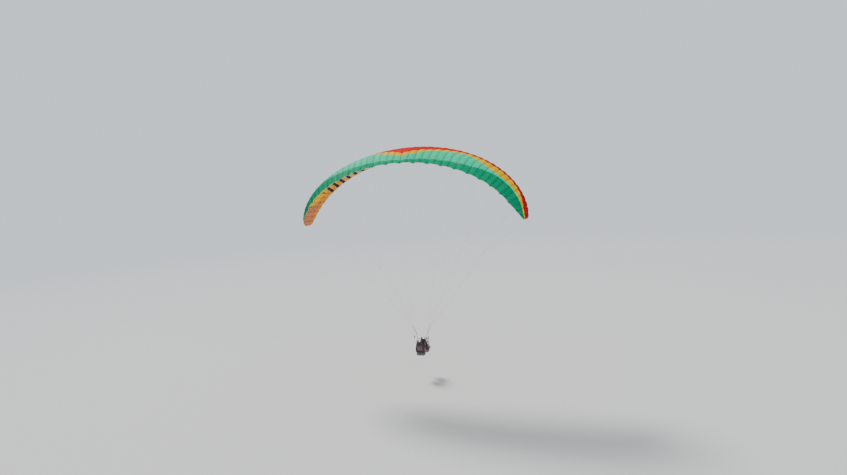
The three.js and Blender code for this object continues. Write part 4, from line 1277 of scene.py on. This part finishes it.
def carabiner(name, at, body, node):
    """A ring in the YZ plane with its lower bend centred on a point, and its gate in front."""
    bar, lock, pin = shapes(3)
    front, top, foot = -Y, at + Z * CARABINER_STRAIGHT, at - Y * BEND
    route = [foot + Z * GATE_LOW, *circle_route(at, BEND, front, -Z, 20, 0, math.pi),
             *(at - front * BEND + Z * CARABINER_STRAIGHT * k / 4 for k in (1, 2, 3)),
             *circle_route(top, BEND, -front, Z, 20, 0, math.pi),
             top + front * BEND - Z * (CARABINER_STRAIGHT - GATE_HIGH)]
    sweep(bar, route, X, round_section(WIRE, 16))
    turned(bar, GATE_HOOK, foot, Z)
    turned(bar, GATE_BAR, foot, Z)
    turned(lock, GATE_SLEEVE, foot, Z)
    turned(pin, HINGE_PIN, foot + Z * 0.0055, X, 14)
    finish_shape(name + "_bar", bar, ALLOY, body, "alloy", node)
    finish_shape(name + "_sleeve", lock, SLEEVE_METAL, body, "alloy")
    finish_shape(name + "_pin", pin, STEEL, body, "alloy")


for side_name, side in SIDES.items():
    at = Vector((side * HANG.x, HANG.y, HANG.z))
    carabiner(f"main_{side_name}", at, "wing", f"main_carabiner_{side_name}")

# %% Spreaders
ARM_START, ARM_REACH, SPREADER_DROP, ARM_STEPS = 0.052, 0.300, 0.190, 12
EYE_RADIUS, TAPE_OFF = 0.00845, 0.0036
EYE_WEB, NECK_WEB = web_section(0.018, 0.0035), web_section(0.018, 0.006)


def sewn_eye(shape, centre, place):
    """A loop of webbing that a carabiner passes through."""
    sweep(shape, circle_route(centre, EYE_RADIUS, X, Z), Y, EYE_WEB, place, closed=True)


for side_name, side in SIDES.items():
    place = Matrix.Translation((side * HANG.x, HANG.y, HANG.z))
    core, cover = shapes(2)
    eye, split_at = -Z * EYE_REACH, -Z * ARM_START
    sewn_eye(core, eye, place)
    sweep(core, [eye - Z * 0.008, eye.lerp(split_at, 0.6), split_at - Z * 0.004], Y, NECK_WEB, place)
    for end in (-1, 1):
        tip = Vector((0, end * ARM_REACH, ARM_START - SPREADER_DROP))
        arm = [split_at.lerp(tip, k / ARM_STEPS) for k in range(ARM_STEPS + 1)]
        sweep(cover, arm, Y, pad_section(0.026, 0.0075), place)
        for face in (-1, 1):
            layer = [point + X * face * TAPE_OFF for point in arm[:-1]]
            sweep(core, layer, Y, web_section(0.016, 0.0016), place)
        end_eye = Vector((0, end * ARM_REACH, EYE_REACH - SPREADER_DROP))
        sewn_eye(core, end_eye, place)
        sweep(core, [end_eye + Z * 0.008, end_eye.lerp(tip, 0.7), tip + Z * 0.012], Y, NECK_WEB, place)
        fold = [arm[-1].lerp(arm[-2], 0.55), arm[-1], arm[-1] + (arm[-1] - arm[-2]) * 0.35]
        sweep(core, fold, Y, pad_section(0.027, 0.0105), place)
    fold_top = [split_at + Z * 0.010, split_at, split_at - Z * 0.009]
    sweep(core, fold_top, Y, pad_section(0.030, 0.0105), place)
    finish_rows(
        "spreaders", "spreader", f"_{side_name}", ("_cover", cover, GREY_WEBBING, "webbing", ""),
        ("_webbing", core, BLACK_WEBBING, "webbing"))

# %% [markdown]
# ## Padded pieces
# Seats, backs and the foam protectors are stuffed cloth. Each starts as its solid, is
# remeshed into even quads and drawn in a little, and swells in a short cloth simulation. A
# soft cap and the solid's own faces then keep it in its place. Seams come last, because a
# remesh would wipe them out: a seam draws the cloth in, and a row of stitches lies on each
# side of it.

# %% Harness sizes
HINGES = {"pilot": Vector((0, 0.8, -9.54)), "passenger": Vector((0, 0.2, -9.54))}
BETWEEN_HINGES = HINGES["passenger"] - HINGES["pilot"]
SEAT_REAR, SEAT_TOP, SEAT_BOTTOM = 0.090, -0.410, -0.470
BACK_LEAN, BACK_THICK, BACK_TOP = math.radians(12), 0.045, 0.110
BACK_OUT = Vector((0, -math.cos(BACK_LEAN), math.sin(BACK_LEAN)))
BACK_UP = Vector((0, math.sin(BACK_LEAN), math.cos(BACK_LEAN)))


def back_front(height):
    """How far to the rear the back's front face lies at a height. It works on arrays too."""
    return SEAT_REAR - BACK_THICK + (height - SEAT_TOP) * math.tan(BACK_LEAN)


print(f"the back's top lies {back_front(BACK_TOP) - back_front(SEAT_TOP):.3f} m behind its foot")


# %% Reading and keeping a mesh
def baked(made):
    """Keeps what the modifiers make as a plain mesh, and removes them."""
    plain = bpy.data.meshes.new_from_object(made.evaluated_get(bpy.context.evaluated_depsgraph_get()))
    made.modifiers.clear()
    made.data = plain


def read_points(mesh, normals=False):
    """The points of a mesh, or its normals at them, as rows of an array."""
    values = np.empty(3 * len(mesh.vertices))
    if normals:
        mesh.vertex_normals.foreach_get("vector", values)
    else:
        mesh.vertices.foreach_get("co", values)
    return values.reshape(-1, 3)


def write_points(mesh, places):
    mesh.vertices.foreach_set("co", np.ascontiguousarray(places).ravel())
    mesh.update()


# %% Swelling a padded piece
DRAWN_IN, SWELL_CAP, MOST_OUT = 0.0055, 0.010, 0.0015
PRESSURE, SWELL_STEPS, QUICK_SHARE = 4.0, 20, 0.6


def swell(made):
    """Inflates a closed mesh. A point moves less and less as it nears the cap."""
    start = read_points(made.data)
    settings = made.modifiers.new("swell", "CLOTH").settings
    settings.use_pressure = True
    settings.uniform_pressure_force = PRESSURE
    settings.effector_weights.gravity = 0
    for moment in range(1, SWELL_STEPS + 1):
        bpy.context.scene.frame_set(moment)
    baked(made)
    bpy.context.scene.frame_set(1)
    moved = read_points(made.data) - start
    far = np.maximum(np.linalg.norm(moved, axis=1), 1e-9)[:, None]
    write_points(made.data, start + moved / far * SWELL_CAP * (1 - np.exp(-far / SWELL_CAP)))


def stay_inside(made, solid):
    """Pushes back every point that stands out of the solid by more than allowed."""
    places = read_points(made.data)
    for k, place in enumerate(places):
        near, facing, _, _ = solid.find_nearest(Vector(place))
        out = (Vector(place) - near).dot(facing)
        if out > MOST_OUT:
            places[k] = near + facing * MOST_OUT
    write_points(made.data, places)


def stuffed(node, name, voxel):
    """A padded piece that fills the space of its solid."""
    shape = bmesh.new()
    shape.from_mesh(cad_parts[node].data)
    bmesh.ops.remove_doubles(shape, verts=shape.verts, dist=1e-5)
    solid = BVHTree.FromBMesh(shape)
    mesh = bpy.data.meshes.new(name)
    shape.to_mesh(mesh)
    shape.free()
    made = link_object(name, mesh)
    remesh = made.modifiers.new("even", "REMESH")
    remesh.mode, remesh.voxel_size = "VOXEL", voxel
    baked(made)
    write_points(made.data, read_points(made.data) - read_points(made.data, True) * DRAWN_IN)
    relax = made.modifiers.new("relax", "SMOOTH")
    relax.factor, relax.iterations = 0.5, 3
    baked(made)
    swell(made)
    stay_inside(made, solid)
    finer = made.modifiers.new("finer", "SUBSURF")
    finer.levels = finer.render_levels = 1
    baked(made)
    made.data.shade_smooth()
    return made


print("a pad is drawn in", DRAWN_IN, "m, and then swells by less than", SWELL_CAP, "m")

# %% Drawing seams in, and tracing where they run
NEAR_PLANE = 0.015


def sew(made, origin, seams):
    """Draws the cloth in along seams. Each is (point, normal, depth, half width, test)."""
    places, facing = read_points(made.data), read_points(made.data, True)
    local = places - np.array(origin)
    draw = np.zeros(len(places))
    for point, normal, depth, half_width, test in seams:
        off = (local - np.array(point)) @ np.array(normal)
        draw = np.maximum(draw, depth * np.exp(-(off / half_width) ** 2) * test(local))
    write_points(made.data, places - facing * draw[:, None])


def traced(made, origin, planes, lift=0.0004):
    """Edges where planes cut a piece, a little off its cloth. Each is (point, normal, test).
    Only the faces within NEAR_PLANE are cut, which saves time."""
    points, edges = [], []
    for point, normal, test in planes:
        shape = bmesh.new()
        shape.from_mesh(made.data)
        at = Vector(point) + origin
        near = [f for f in shape.faces if abs((f.calc_center_median() - at).dot(normal)) < NEAR_PLANE]
        parts = {item for face in near for item in (*face.verts, *face.edges)}
        cut = bmesh.ops.bisect_plane(shape, geom=[*parts, *near], plane_co=at, plane_no=normal)["geom_cut"]
        shape.normal_update()
        number = {}
        for edge in (item for item in cut if isinstance(item, bmesh.types.BMEdge)):
            middle = (edge.verts[0].co + edge.verts[1].co) / 2 - origin
            if not test(np.array([middle]))[0]:
                continue
            for vert in edge.verts:
                if vert not in number:
                    number[vert] = len(points)
                    points.append(vert.co + vert.normal * lift)
            edges.append(tuple(number[vert] for vert in edge.verts))
        shape.free()
    return points, edges


# %% Stitches and piping, laid along traced edges
def even_curve(tree, step):
    """The bare edges that come in, as curves with points a step apart."""
    curves = add_node(tree, "GeometryNodeMeshToCurve", {"Mesh": incoming(tree)})
    return add_node(tree, "GeometryNodeResampleCurve", {"Curve": curves, "Length": step}, mode="LENGTH")


tree, given = new_tree("stitch_rows", Pitch=0.0085, Stitch_length=0.0058, Thread=0.0007)
along = add_node(tree, "GeometryNodeInputTangent")
turn = add_node(tree, "FunctionNodeAlignRotationToVector", {"Vector": along}, axis="Z")
bead = add_node(tree, "GeometryNodeMeshUVSphere", {"Segments": 5, "Rings": 3, "Radius": 1.0})
size = combine(tree, given("Thread"), given("Thread"), given("Stitch length") * 0.5)
stitches = add_node(tree, "GeometryNodeInstanceOnPoints", {
    "Points": even_curve(tree, given("Pitch")), "Instance": bead, "Rotation": turn, "Scale": size})
STITCH_ROWS = close_tree(tree, given, stitches)

tree, given = new_tree("piping", Radius=0.0026, Step=0.007)
eased = add_node(tree, "GeometryNodeBlurAttribute", {
    "Value": add_node(tree, "GeometryNodeInputPosition"), "Iterations": 4}, data_type="FLOAT_VECTOR")
calm = move_to(tree, even_curve(tree, given("Step")), eased)
PIPING = close_tree(tree, given, smoothed(tree, tube(tree, calm, 8, given("Radius"))))


def edge_mesh(name, *traces):
    """One mesh of bare edges from several (points, edges)."""
    points, edges = [], []
    for some_points, some_edges in traces:
        edges += [(a + len(points), b + len(points)) for a, b in some_edges]
        points += some_points
    mesh = bpy.data.meshes.new(name)
    mesh.from_pydata(points, edges, [])
    return mesh


stitch_traces = {name: [] for name in HINGES}


def stitch_along(name, route, place):
    """Notes a row of stitches along a route, to be made with all the others at the end."""
    edges = [(k, k + 1) for k in range(len(route) - 1)]
    stitch_traces[name].append(([place @ point for point in route], edges))


print("trees for sewing:", STITCH_ROWS.name, PIPING.name)

# %% Pack cloth, piping and thread
FOLD_SCALE, FOLD_HIGH, WEAVE_HIGH, DIRT_SCALE, DUST_FROM = 9.0, 0.0022, 0.00012, 4.0, 0.48
group, given, result = new_group(
    "pack_cloth", {"Place": (0.0, 0.0, 0.0), "Pitch": 0.0016}, {"Height": 0.0, "Tone": 0.0, "Dust": 0.0})
waves = [((axis / given("Pitch")) * (2 * math.pi)).math("SINE") for axis in split(group, given("Place"))]
plain = waves[0] * waves[1] + waves[1] * waves[2] + waves[0] * waves[2]
folds = noise(group, given("Place"), FOLD_SCALE, 3.0)
dirt = noise(group, given("Place"), DIRT_SCALE, 5.0)
result("Height", plain * WEAVE_HIGH + folds * FOLD_HIGH)
# The tone follows the plain weave, and is darker in the hollows of the folds as painted shade
result("Tone", 0.92 + plain * 0.14 + (folds - 0.5) * 0.22)
result("Dust", clamp((dirt - DUST_FROM) * 3.0))
PACK_CLOTH, DRY_EARTH = group, (0.30, 0.27, 0.22, 1)


def pack_cloth(name, colour, dust=0.35, pitch=0.0016, roughness=0.72):
    """Coated pack cloth with a plain weave and a little dried dust."""
    material, tree, shader = new_material(name, roughness)
    shader.inputs["Specular IOR Level"].default_value = 0.3
    weave = use_group(tree, PACK_CLOTH, Place=object_place(tree), Pitch=pitch)
    toned = scaled(tree, colour, weave("Tone"))
    dusty = mix_colour(tree, weave("Dust") * dust * 0.3, toned, DRY_EARTH)
    coat(tree, shader, dusty, roughness - 0.08 + weave("Dust") * 0.18, weave("Height"))
    return material


CHARCOAL = pack_cloth("charcoal_pack_cloth", (0.030, 0.033, 0.040))
SLATE = pack_cloth("slate_pack_cloth", (0.085, 0.095, 0.110), 0.6)
RED_PIPING = pack_cloth("red_piping", (0.42, 0.02, 0.012), 0.2, 0.0010, 0.6)
THREAD = pack_cloth("pale_thread", (0.42, 0.43, 0.44), 0.2, 0.0008, 0.6)
ZIP_COIL = pack_cloth("zip_coil", (0.015, 0.015, 0.017), 0.1, 0.0022, 0.45)
print("harness finishes made, the last is", ZIP_COIL.name)


# %% Where the seams of the padded pieces run
def everywhere(local):
    return np.ones(len(local), bool)


def seat_top(local):
    return local[:, 2] > SEAT_TOP - 0.012


def back_face(local):
    """The back's front face, where seams fade out over 30 mm at its foot and its top."""
    height = local[:, 2]
    inside = np.clip((height + 0.395) / 0.03, 0, 1) * np.clip((0.095 - height) / 0.03, 0, 1)
    return inside * (local[:, 1] - back_front(height) < 0.5 * BACK_THICK)


def spine(local):
    return back_face(local) * (abs(local[:, 0]) < 0.088)


def outer_face(local):
    return local[:, 1] > back_front(local[:, 2]) + BACK_THICK + 0.030


def on_back(height, depth=0.0):
    return Vector((0, back_front(height) + depth, height))


def seams_along(axis, offs, depth, half_width, test):
    """Seams square to an axis, as (point, normal, depth, half width, test)."""
    return [(axis * off, axis, depth, half_width, test) for off in offs]


ZIP_LINE = (on_back(-0.145, 0.10), BACK_UP)
SPINE_SEAMS = [(on_back(z), BACK_UP, 0.0055, 0.008, spine) for z in (-0.34, -0.24, -0.14, -0.04, 0.05)]
# For each padded piece: its cloth, slot, voxel and fill, its seams, and the planes of its piping
PADS = {
    "seat": (CHARCOAL, "pad", 0.0075, 0.7,
             seams_along(X, (-0.085, 0.085), 0.005, 0.008, seat_top)
             + seams_along(Y, (-0.112, 0.032), 0.004, 0.008, seat_top),
             [(Z * (SEAT_TOP - 0.006), Z), (Z * (SEAT_BOTTOM + 0.007), Z)]),
    "back": (CHARCOAL, "pad", 0.0075, 0.7,
             seams_along(X, (-0.090, 0.090), 0.0065, 0.009, back_face) + SPINE_SEAMS,
             [(on_back(0, 0.007), BACK_OUT), (on_back(0, BACK_THICK - 0.007), BACK_OUT)]),
    "protector": (SLATE, "protector", 0.0085, 0.85,
                  seams_along(X, (-0.120, 0.0, 0.120), 0.005, 0.009, everywhere)
                  + seams_along(Z, (-0.545,), 0.004, 0.008, everywhere),
                  [(X * -0.184, X), (X * 0.184, X)]),
    "rear_pocket": (SLATE, "pad", 0.007, 0.7,
                    [(*ZIP_LINE, 0.003, 0.006, outer_face)],
                    [(on_back(0, BACK_THICK + 0.036), BACK_OUT)]),
}
print("padded pieces:", ", ".join(PADS))

# %% Seats, backs, protectors and the rear pocket
ROW_OFF = 0.0042
origin = HINGES["pilot"]
for part, (cloth_finish, slot, voxel, fill, seams, piping_planes) in PADS.items():
    node = f"pilot_{part}"
    made = stuffed(node, f"{node}_pad", voxel)
    sew(made, origin, seams)
    made.data.materials.append(cloth_finish)
    rows = [(Vector(point) + Vector(normal) * off, normal, test)
            for point, normal, _, _, test in seams for off in (-ROW_OFF, ROW_OFF)]
    points, edges = traced(made, origin, rows)
    edge_planes = [(point, normal, everywhere) for point, normal in piping_planes]
    piping_mesh = edge_mesh(f"{node}_piping", traced(made, origin, edge_planes, 0.0006))
    piped = run_tree(PIPING, f"{node}_piping", RED_PIPING, piping_mesh)
    for name in ("pilot",) if part == "rear_pocket" else HINGES:
        pad, edge = made, piped
        stitch_traces[name].append(([point + (HINGES[name] - origin) for point in points], edges))
        if name != "pilot":
            pad, edge = (link_object(piece.name.replace("pilot", name), piece.data.copy())
                         for piece in (made, piped))
            for piece in (pad, edge):
                write_points(piece.data, read_points(piece.data) + np.array(BETWEEN_HINGES))
        dress(pad, f"{name}_harness", slot, f"{name}_{part}")
        dress(edge, f"{name}_harness", "webbing")

# %% The rear pocket's zip
pocket = bpy.data.objects["pilot_rear_pocket_pad"]
zip_trace = traced(pocket, origin, [(*ZIP_LINE, outer_face)])
coil = run_tree(PIPING, "pilot_pocket_zip", ZIP_COIL, edge_mesh("zip", zip_trace), Radius=0.0030)
dress(coil, "pilot_harness", "pad")

# %% [markdown]
# ## Straps, side panels and buckles
# Webbing carries the load: from each carabiner a strap drops to the side panel, and fans
# out over it to the seat's front and rear. The shoulder straps and thigh loops are padded,
# and the chest strap keeps the shoulder straps together. Flat straps are swept directly,
# because a simulation would only blur them.


# %% Helpers for buckles and panels
CORNER_STEPS = 5


def frame_route(centre, first, second, half_first, half_second, corner):
    """A rectangle with round corners, in the plane of two directions."""
    route = []
    for k, (a, b) in enumerate(((1, 1), (-1, 1), (-1, -1), (1, -1))):
        middle = centre + first * a * (half_first - corner) + second * b * (half_second - corner)
        start, end = k * math.pi / 2, (k + 1) * math.pi / 2
        route += circle_route(middle, corner, first, second, CORNER_STEPS, start, end)
    return route


FRAME_WIRE, BAR_WIRE, FRAME_MORE = round_section(0.0022, 8), round_section(0.0019, 8), 0.004


def adjuster(shape, centre, along, across, width, place):
    """A ladder buckle: a round-cornered frame with two bars that the strap winds through."""
    out, half = along.cross(across), width / 2 + FRAME_MORE
    sweep(shape, frame_route(centre, across, along, half, 0.014, 0.005), out, FRAME_WIRE, place, closed=True)
    for off in (-0.0045, 0.0045):
        bar = centre + along * off
        sweep(shape, [bar - across * half, bar, bar + across * half], out, BAR_WIRE, place)


def block(shape, centre, sizes, edge):
    """A bevelled block of moulded plastic."""
    matrix = Matrix.Translation(centre) @ Matrix.Diagonal((*sizes, 1))
    made = bmesh.ops.create_cube(shape, size=1, matrix=matrix)["verts"]
    edges = list({side for vert in made for side in vert.link_edges})
    bmesh.ops.bevel(shape, geom=edges, offset=edge, segments=2, profile=0.7, affect="EDGES")


def rounded_outline(corners, radius, steps):
    """A polygon in (y, z) with its corners rounded off."""
    outline = []
    for k in range(len(corners)):
        here, behind, ahead = (Vector(corners[(k + j) % len(corners)]) for j in (0, -1, 1))
        reach = min(radius, (behind - here).length * 0.45, (ahead - here).length * 0.45)
        start, end = (here + (other - here).normalized() * reach for other in (behind, ahead))
        shares = [j / steps for j in range(steps + 1)]
        outline += [start.lerp(here, share).lerp(here.lerp(end, share), share) for share in shares]
    return outline


def off_route(route, across, off, lift):
    """A route beside another: off along its width, and lifted along its depth."""
    beside = []
    for k, point in enumerate(route):
        way, wide = section_axes(route, k, across)
        beside.append(point + wide * off + way.cross(wide) * lift)
    return beside


print("sides of a buckle's frame wire:", len(FRAME_WIRE))

# %% Side panels
PANEL_X, PANEL_HALF, NECK = 0.240, 0.0026, (-0.080, -0.14, -0.205)
PANEL_OUTLINE = rounded_outline([
    (-0.012, -0.170), (-0.020, -0.230), (-0.040, -0.290), (-0.120, -0.370), (-0.240, -0.410),
    (-0.240, -0.470), (0.090, -0.470), (0.090, -0.410), (back_front(-0.2) + 0.020, -0.240),
    (back_front(-0.2) - 0.025, -0.230), (0.060, -0.260), (0.020, -0.170)], 0.012, 4)
# The webbing sewn on a panel: two runs down from the carabiner, and one along the seat
WEBBING_RUNS = (
    (Y, ((0.0, -0.080), (0.0, -0.180), (-0.012, -0.290), (-0.020, -0.465))),
    (Y, ((0.004, -0.185), (0.030, -0.260), (0.058, -0.340), (0.066, -0.465))),
    (Z, ((-0.232, -0.440), (-0.100, -0.440), (0.082, -0.440))),
)
SEWN_TAPE, TAPE_LIFT, LAYER_LIFT, EDGE_ROW = web_section(0.020, 0.0012), 0.0008, 0.0004, 0.0072

for name, origin in HINGES.items():
    place, body = Matrix.Translation(origin), f"{name}_harness"
    for side_name, side in SIDES.items():
        at = X * side * PANEL_X
        low_bend = origin + at - Z * CARABINER_STRAIGHT
        carabiner(f"{name}_{side_name}", low_bend, body, f"{name}_carabiner_{side_name}")

        panel, binding, straps = shapes(3)
        route = [at + Vector((0, y, z)) for y, z in PANEL_OUTLINE]
        layers = [[panel.verts.new(origin + at + X * x + Vector((0, y, z))) for y, z in PANEL_OUTLINE]
                  for x in (-PANEL_HALF, PANEL_HALF)]
        panel.faces.new(layers[0])
        panel.faces.new(layers[1][::-1])
        for j in range(len(PANEL_OUTLINE)):
            nxt = (j + 1) % len(PANEL_OUTLINE)
            panel.faces.new((layers[0][j], layers[1][j], layers[1][nxt], layers[0][nxt]))
        inner = off_route([*route, route[0]], X, 0, -0.003)[:-1]
        sweep(binding, inner, X, pad_section(0.0068, 0.009, 10), place, closed=True)

        sewn_eye(straps, at - Z * (CARABINER_STRAIGHT + EYE_REACH), place)
        sweep(straps, [at + Z * z for z in NECK], Y, web_section(0.018, 0.0058), place)
        for face in (-1, 1):
            outside = face * side > 0
            for k, (across, run) in enumerate(WEBBING_RUNS if outside else WEBBING_RUNS[:2]):
                lift = X * face * (PANEL_HALF + TAPE_LIFT + LAYER_LIFT * k)
                path = curved([at + lift + Vector((0, y, z)) for y, z in run], 8)
                sweep(straps, path, across, SEWN_TAPE, place)
                for off in (-EDGE_ROW, EDGE_ROW) if outside else ():
                    beside = off_route(path, across, off, 0)
                    stitch_along(name, [point + X * side * 0.0009 for point in beside], place)
        finish_rows(
            body, f"{name}_", f"_{side_name}", ("side_cloth", panel, SLATE, "webbing", "side_panel"),
            ("side_binding", binding, RED_PIPING, "webbing"),
            ("main_webbing", straps, BLACK_WEBBING, "webbing"))

# %% Cloth that joins the seat to the back and to the protector
SKIRT_THICK, SKIRT_WIDTH, SKIRT_MIDDLE = 0.003, 0.034, Vector((0, (SEAT_REAR - 0.225) / 2, SEAT_BOTTOM))
# The two strips at the back's foot: how deep each lies in the back, and how far inside the seat
FOOT_STRIPS, STRIP_WIDTH = ((BACK_THICK - 0.006, -0.008), (0.006, -0.010)), 0.440

for name, origin in HINGES.items():
    place, skirt = Matrix.Translation(origin), bmesh.new()
    around = frame_route(SKIRT_MIDDLE, X, Y, 0.188, 0.150, 0.020)
    sweep(skirt, around, Z, web_section(SKIRT_WIDTH, SKIRT_THICK), place, closed=True)
    for depth, inside in FOOT_STRIPS:
        low = Vector((0, back_front(SEAT_TOP) + depth + inside * 0.4, SEAT_TOP - 0.014))
        high = on_back(SEAT_TOP + 0.022, depth)
        sweep(skirt, [low, low.lerp(high, 0.5), high], X, web_section(STRIP_WIDTH, SKIRT_THICK), place)
    finish_shape(f"{name}_joining_cloth", skirt, CHARCOAL, f"{name}_harness", "pad")

# %% Shoulder straps
PAD_END, STRAP_STEPS, UNDER_PAD, FOOT_X = 33, 5, 8, 0.2317
TOP_Y = back_front(BACK_TOP) + BACK_THICK / 2
SHOULDER_ROUTE = (
    (0.095, TOP_Y, 0.0860), (0.095, TOP_Y, 0.130), (0.096, TOP_Y - 0.050, 0.172), (0.100, 0.110, 0.158),
    (0.108, 0.025, 0.118), (0.124, -0.030, 0.030), (0.150, -0.045, -0.070), (0.185, -0.042, -0.160),
    (0.220, -0.030, -0.230), (FOOT_X, -0.015, -0.280), (FOOT_X, -0.015, -0.300), (FOOT_X, -0.015, -0.330))
# Rows of stitches on a shoulder pad: how far off its middle line, and how far off its axis
PAD_ROWS = ((-0.0170, 0.0041), (-0.0072, 0.0056), (0.0072, 0.0056), (0.0170, 0.0041))


def stretch(route, side, first, final):
    """Part of a strap's route, and how its width lies there: across the shoulder on the
    upper half of the whole route, and turned to point forwards three quarters down it."""
    def across(share):
        at = (first + share * (final - first)) / (len(route) - 1)
        turned_by = min(1, max(0, (at - 0.5) / 0.25))
        return Vector((side * (1 - turned_by), -turned_by, 0))
    return route[first:final + 1], across


def shoulder_strap(name, side_name, side, place, body):
    """The padded part over the shoulder, the webbing that comes out of it, and its buckle."""
    pad, web, metal = shapes(3)
    route = curved([Vector((side * x, y, z)) for x, y, z in SHOULDER_ROUTE], STRAP_STEPS)
    last = len(route) - 1
    sweep(pad, *stretch(route, side, 0, PAD_END), pad_section(0.044, 0.009), place)
    sweep(web, *stretch(route, side, PAD_END - UNDER_PAD, last), web_section(0.034, 0.0045), place)
    middle, across = stretch(route, side, 4, PAD_END - 1)
    sweep(web, off_route(middle, across, 0, side * 0.0048), across, SEWN_TAPE, place)
    for off, lift in PAD_ROWS:
        stitch_along(name, off_route(*stretch(route, side, 2, PAD_END - 2), off, side * lift), place)
    below_pad, across = stretch(route, side, PAD_END, PAD_END + 2)
    way, wide = section_axes(below_pad, 1, across)
    adjuster(metal, below_pad[1] + way.cross(wide) * side * 0.0035, way, wide, 0.034, place)
    made = finish_rows(
        body, f"{name}_shoulder_", f"_{side_name}", ("pad", pad, CHARCOAL, "pad", "strap"),
        ("webbing", web, BLACK_WEBBING, "webbing"), ("buckle", metal, ALLOY, "alloy"))


print("points that a shoulder strap follows:", len(SHOULDER_ROUTE))

# %% Thigh loops
LEG_RADIUS, LEG_AT = 0.0723, Vector((0.105, -0.150, -0.3347))


def thigh_loop(name, side_name, side, place, body):
    """A padded ring round the thigh, with webbing sewn over it and a buckle on top."""
    pad, web, metal = shapes(3)
    centre = Vector((side * LEG_AT.x, LEG_AT.y, LEG_AT.z))
    sweep(pad, circle_route(centre, LEG_RADIUS, X, Z, 64), Y, pad_section(0.038, 0.0052), place, closed=True)
    over = circle_route(centre, LEG_RADIUS + 0.0030, X, Z, 48, -0.9, math.pi + 0.9)
    sweep(web, over, Y, web_section(0.022, 0.0012), place)
    for off in (-0.0078, 0.0078):
        row = [point + Y * off + (point - centre).normalized() * 0.0008 for point in over]
        stitch_along(name, row, place)
    adjuster(metal, centre + Z * (LEG_RADIUS + 0.0055), X, Y, 0.024, place)
    made = finish_rows(
        body, f"{name}_", f"_{side_name}", ("thigh_loop", pad, CHARCOAL, "pad", "leg_strap"),
        ("thigh_webbing", web, BLACK_WEBBING, "webbing"), ("thigh_buckle", metal, ALLOY, "alloy"))


print("a thigh loop is", round(2 * LEG_RADIUS, 3), "m across at the middle of its padding")

# %% Chest straps, and all the straps of both harnesses
CHEST_Z, CHEST_Y, CHEST_WIDTH = -0.150, -0.1525, 0.025
CHEST_HALF = (
    (0.2367, 0), (0.229, 0), (0.222, -0.055), (0.190, -0.100), (0.140, -0.130), (0.070, -0.148), (0, -0.152))
# The parts of the buckle: where each lies from the strap's middle, its size and its bevel
BUCKLE_PARTS = (
    (X * 0.012, (0.034, 0.011, 0.033), 0.003), (X * -0.015, (0.018, 0.008, 0.029), 0.002),
    (Vector((0.006, 0, -0.0145)), (0.026, 0.009, 0.007), 0.002),
    (Vector((0.006, 0, 0.0145)), (0.026, 0.009, 0.007), 0.002))


def chest_strap(name, origin, place, body):
    """One strap across the chest, with a moulded buckle and a slider at each side of it."""
    chest, buckle, sliders = shapes(3)
    bends = [*CHEST_HALF, *((-x, y) for x, y in CHEST_HALF[-2::-1])]
    route = curved([Vector((x, y, CHEST_Z)) for x, y in bends], 5)
    sweep(chest, route, Z, web_section(CHEST_WIDTH, 0.003), place)
    for off, sizes, bevel in BUCKLE_PARTS:
        block(buckle, origin + Vector((0, CHEST_Y, CHEST_Z)) + off, sizes, bevel)
    for x in (-0.050, 0.055):
        adjuster(sliders, Vector((x, CHEST_Y - 0.001, CHEST_Z)), X, Z, CHEST_WIDTH, place)
    finish_rows(
        body, f"{name}_chest_", "", ("webbing", chest, BLACK_WEBBING, "webbing", "strap"),
        ("buckle", buckle, MOULDED, "alloy"), ("sliders", sliders, MOULDED, "alloy"))


for name, origin in HINGES.items():
    place, body = Matrix.Translation(origin), f"{name}_harness"
    for side_name, side in SIDES.items():
        shoulder_strap(name, side_name, side, place, body)
        thigh_loop(name, side_name, side, place, body)
    chest_strap(name, origin, place, body)

# %% All the harness stitches
for name, traces in stitch_traces.items():
    rows = run_tree(STITCH_ROWS, f"{name}_stitches", THREAD, edge_mesh(f"{name}_rows", *traces))
    dress(rows, f"{name}_harness", "webbing")
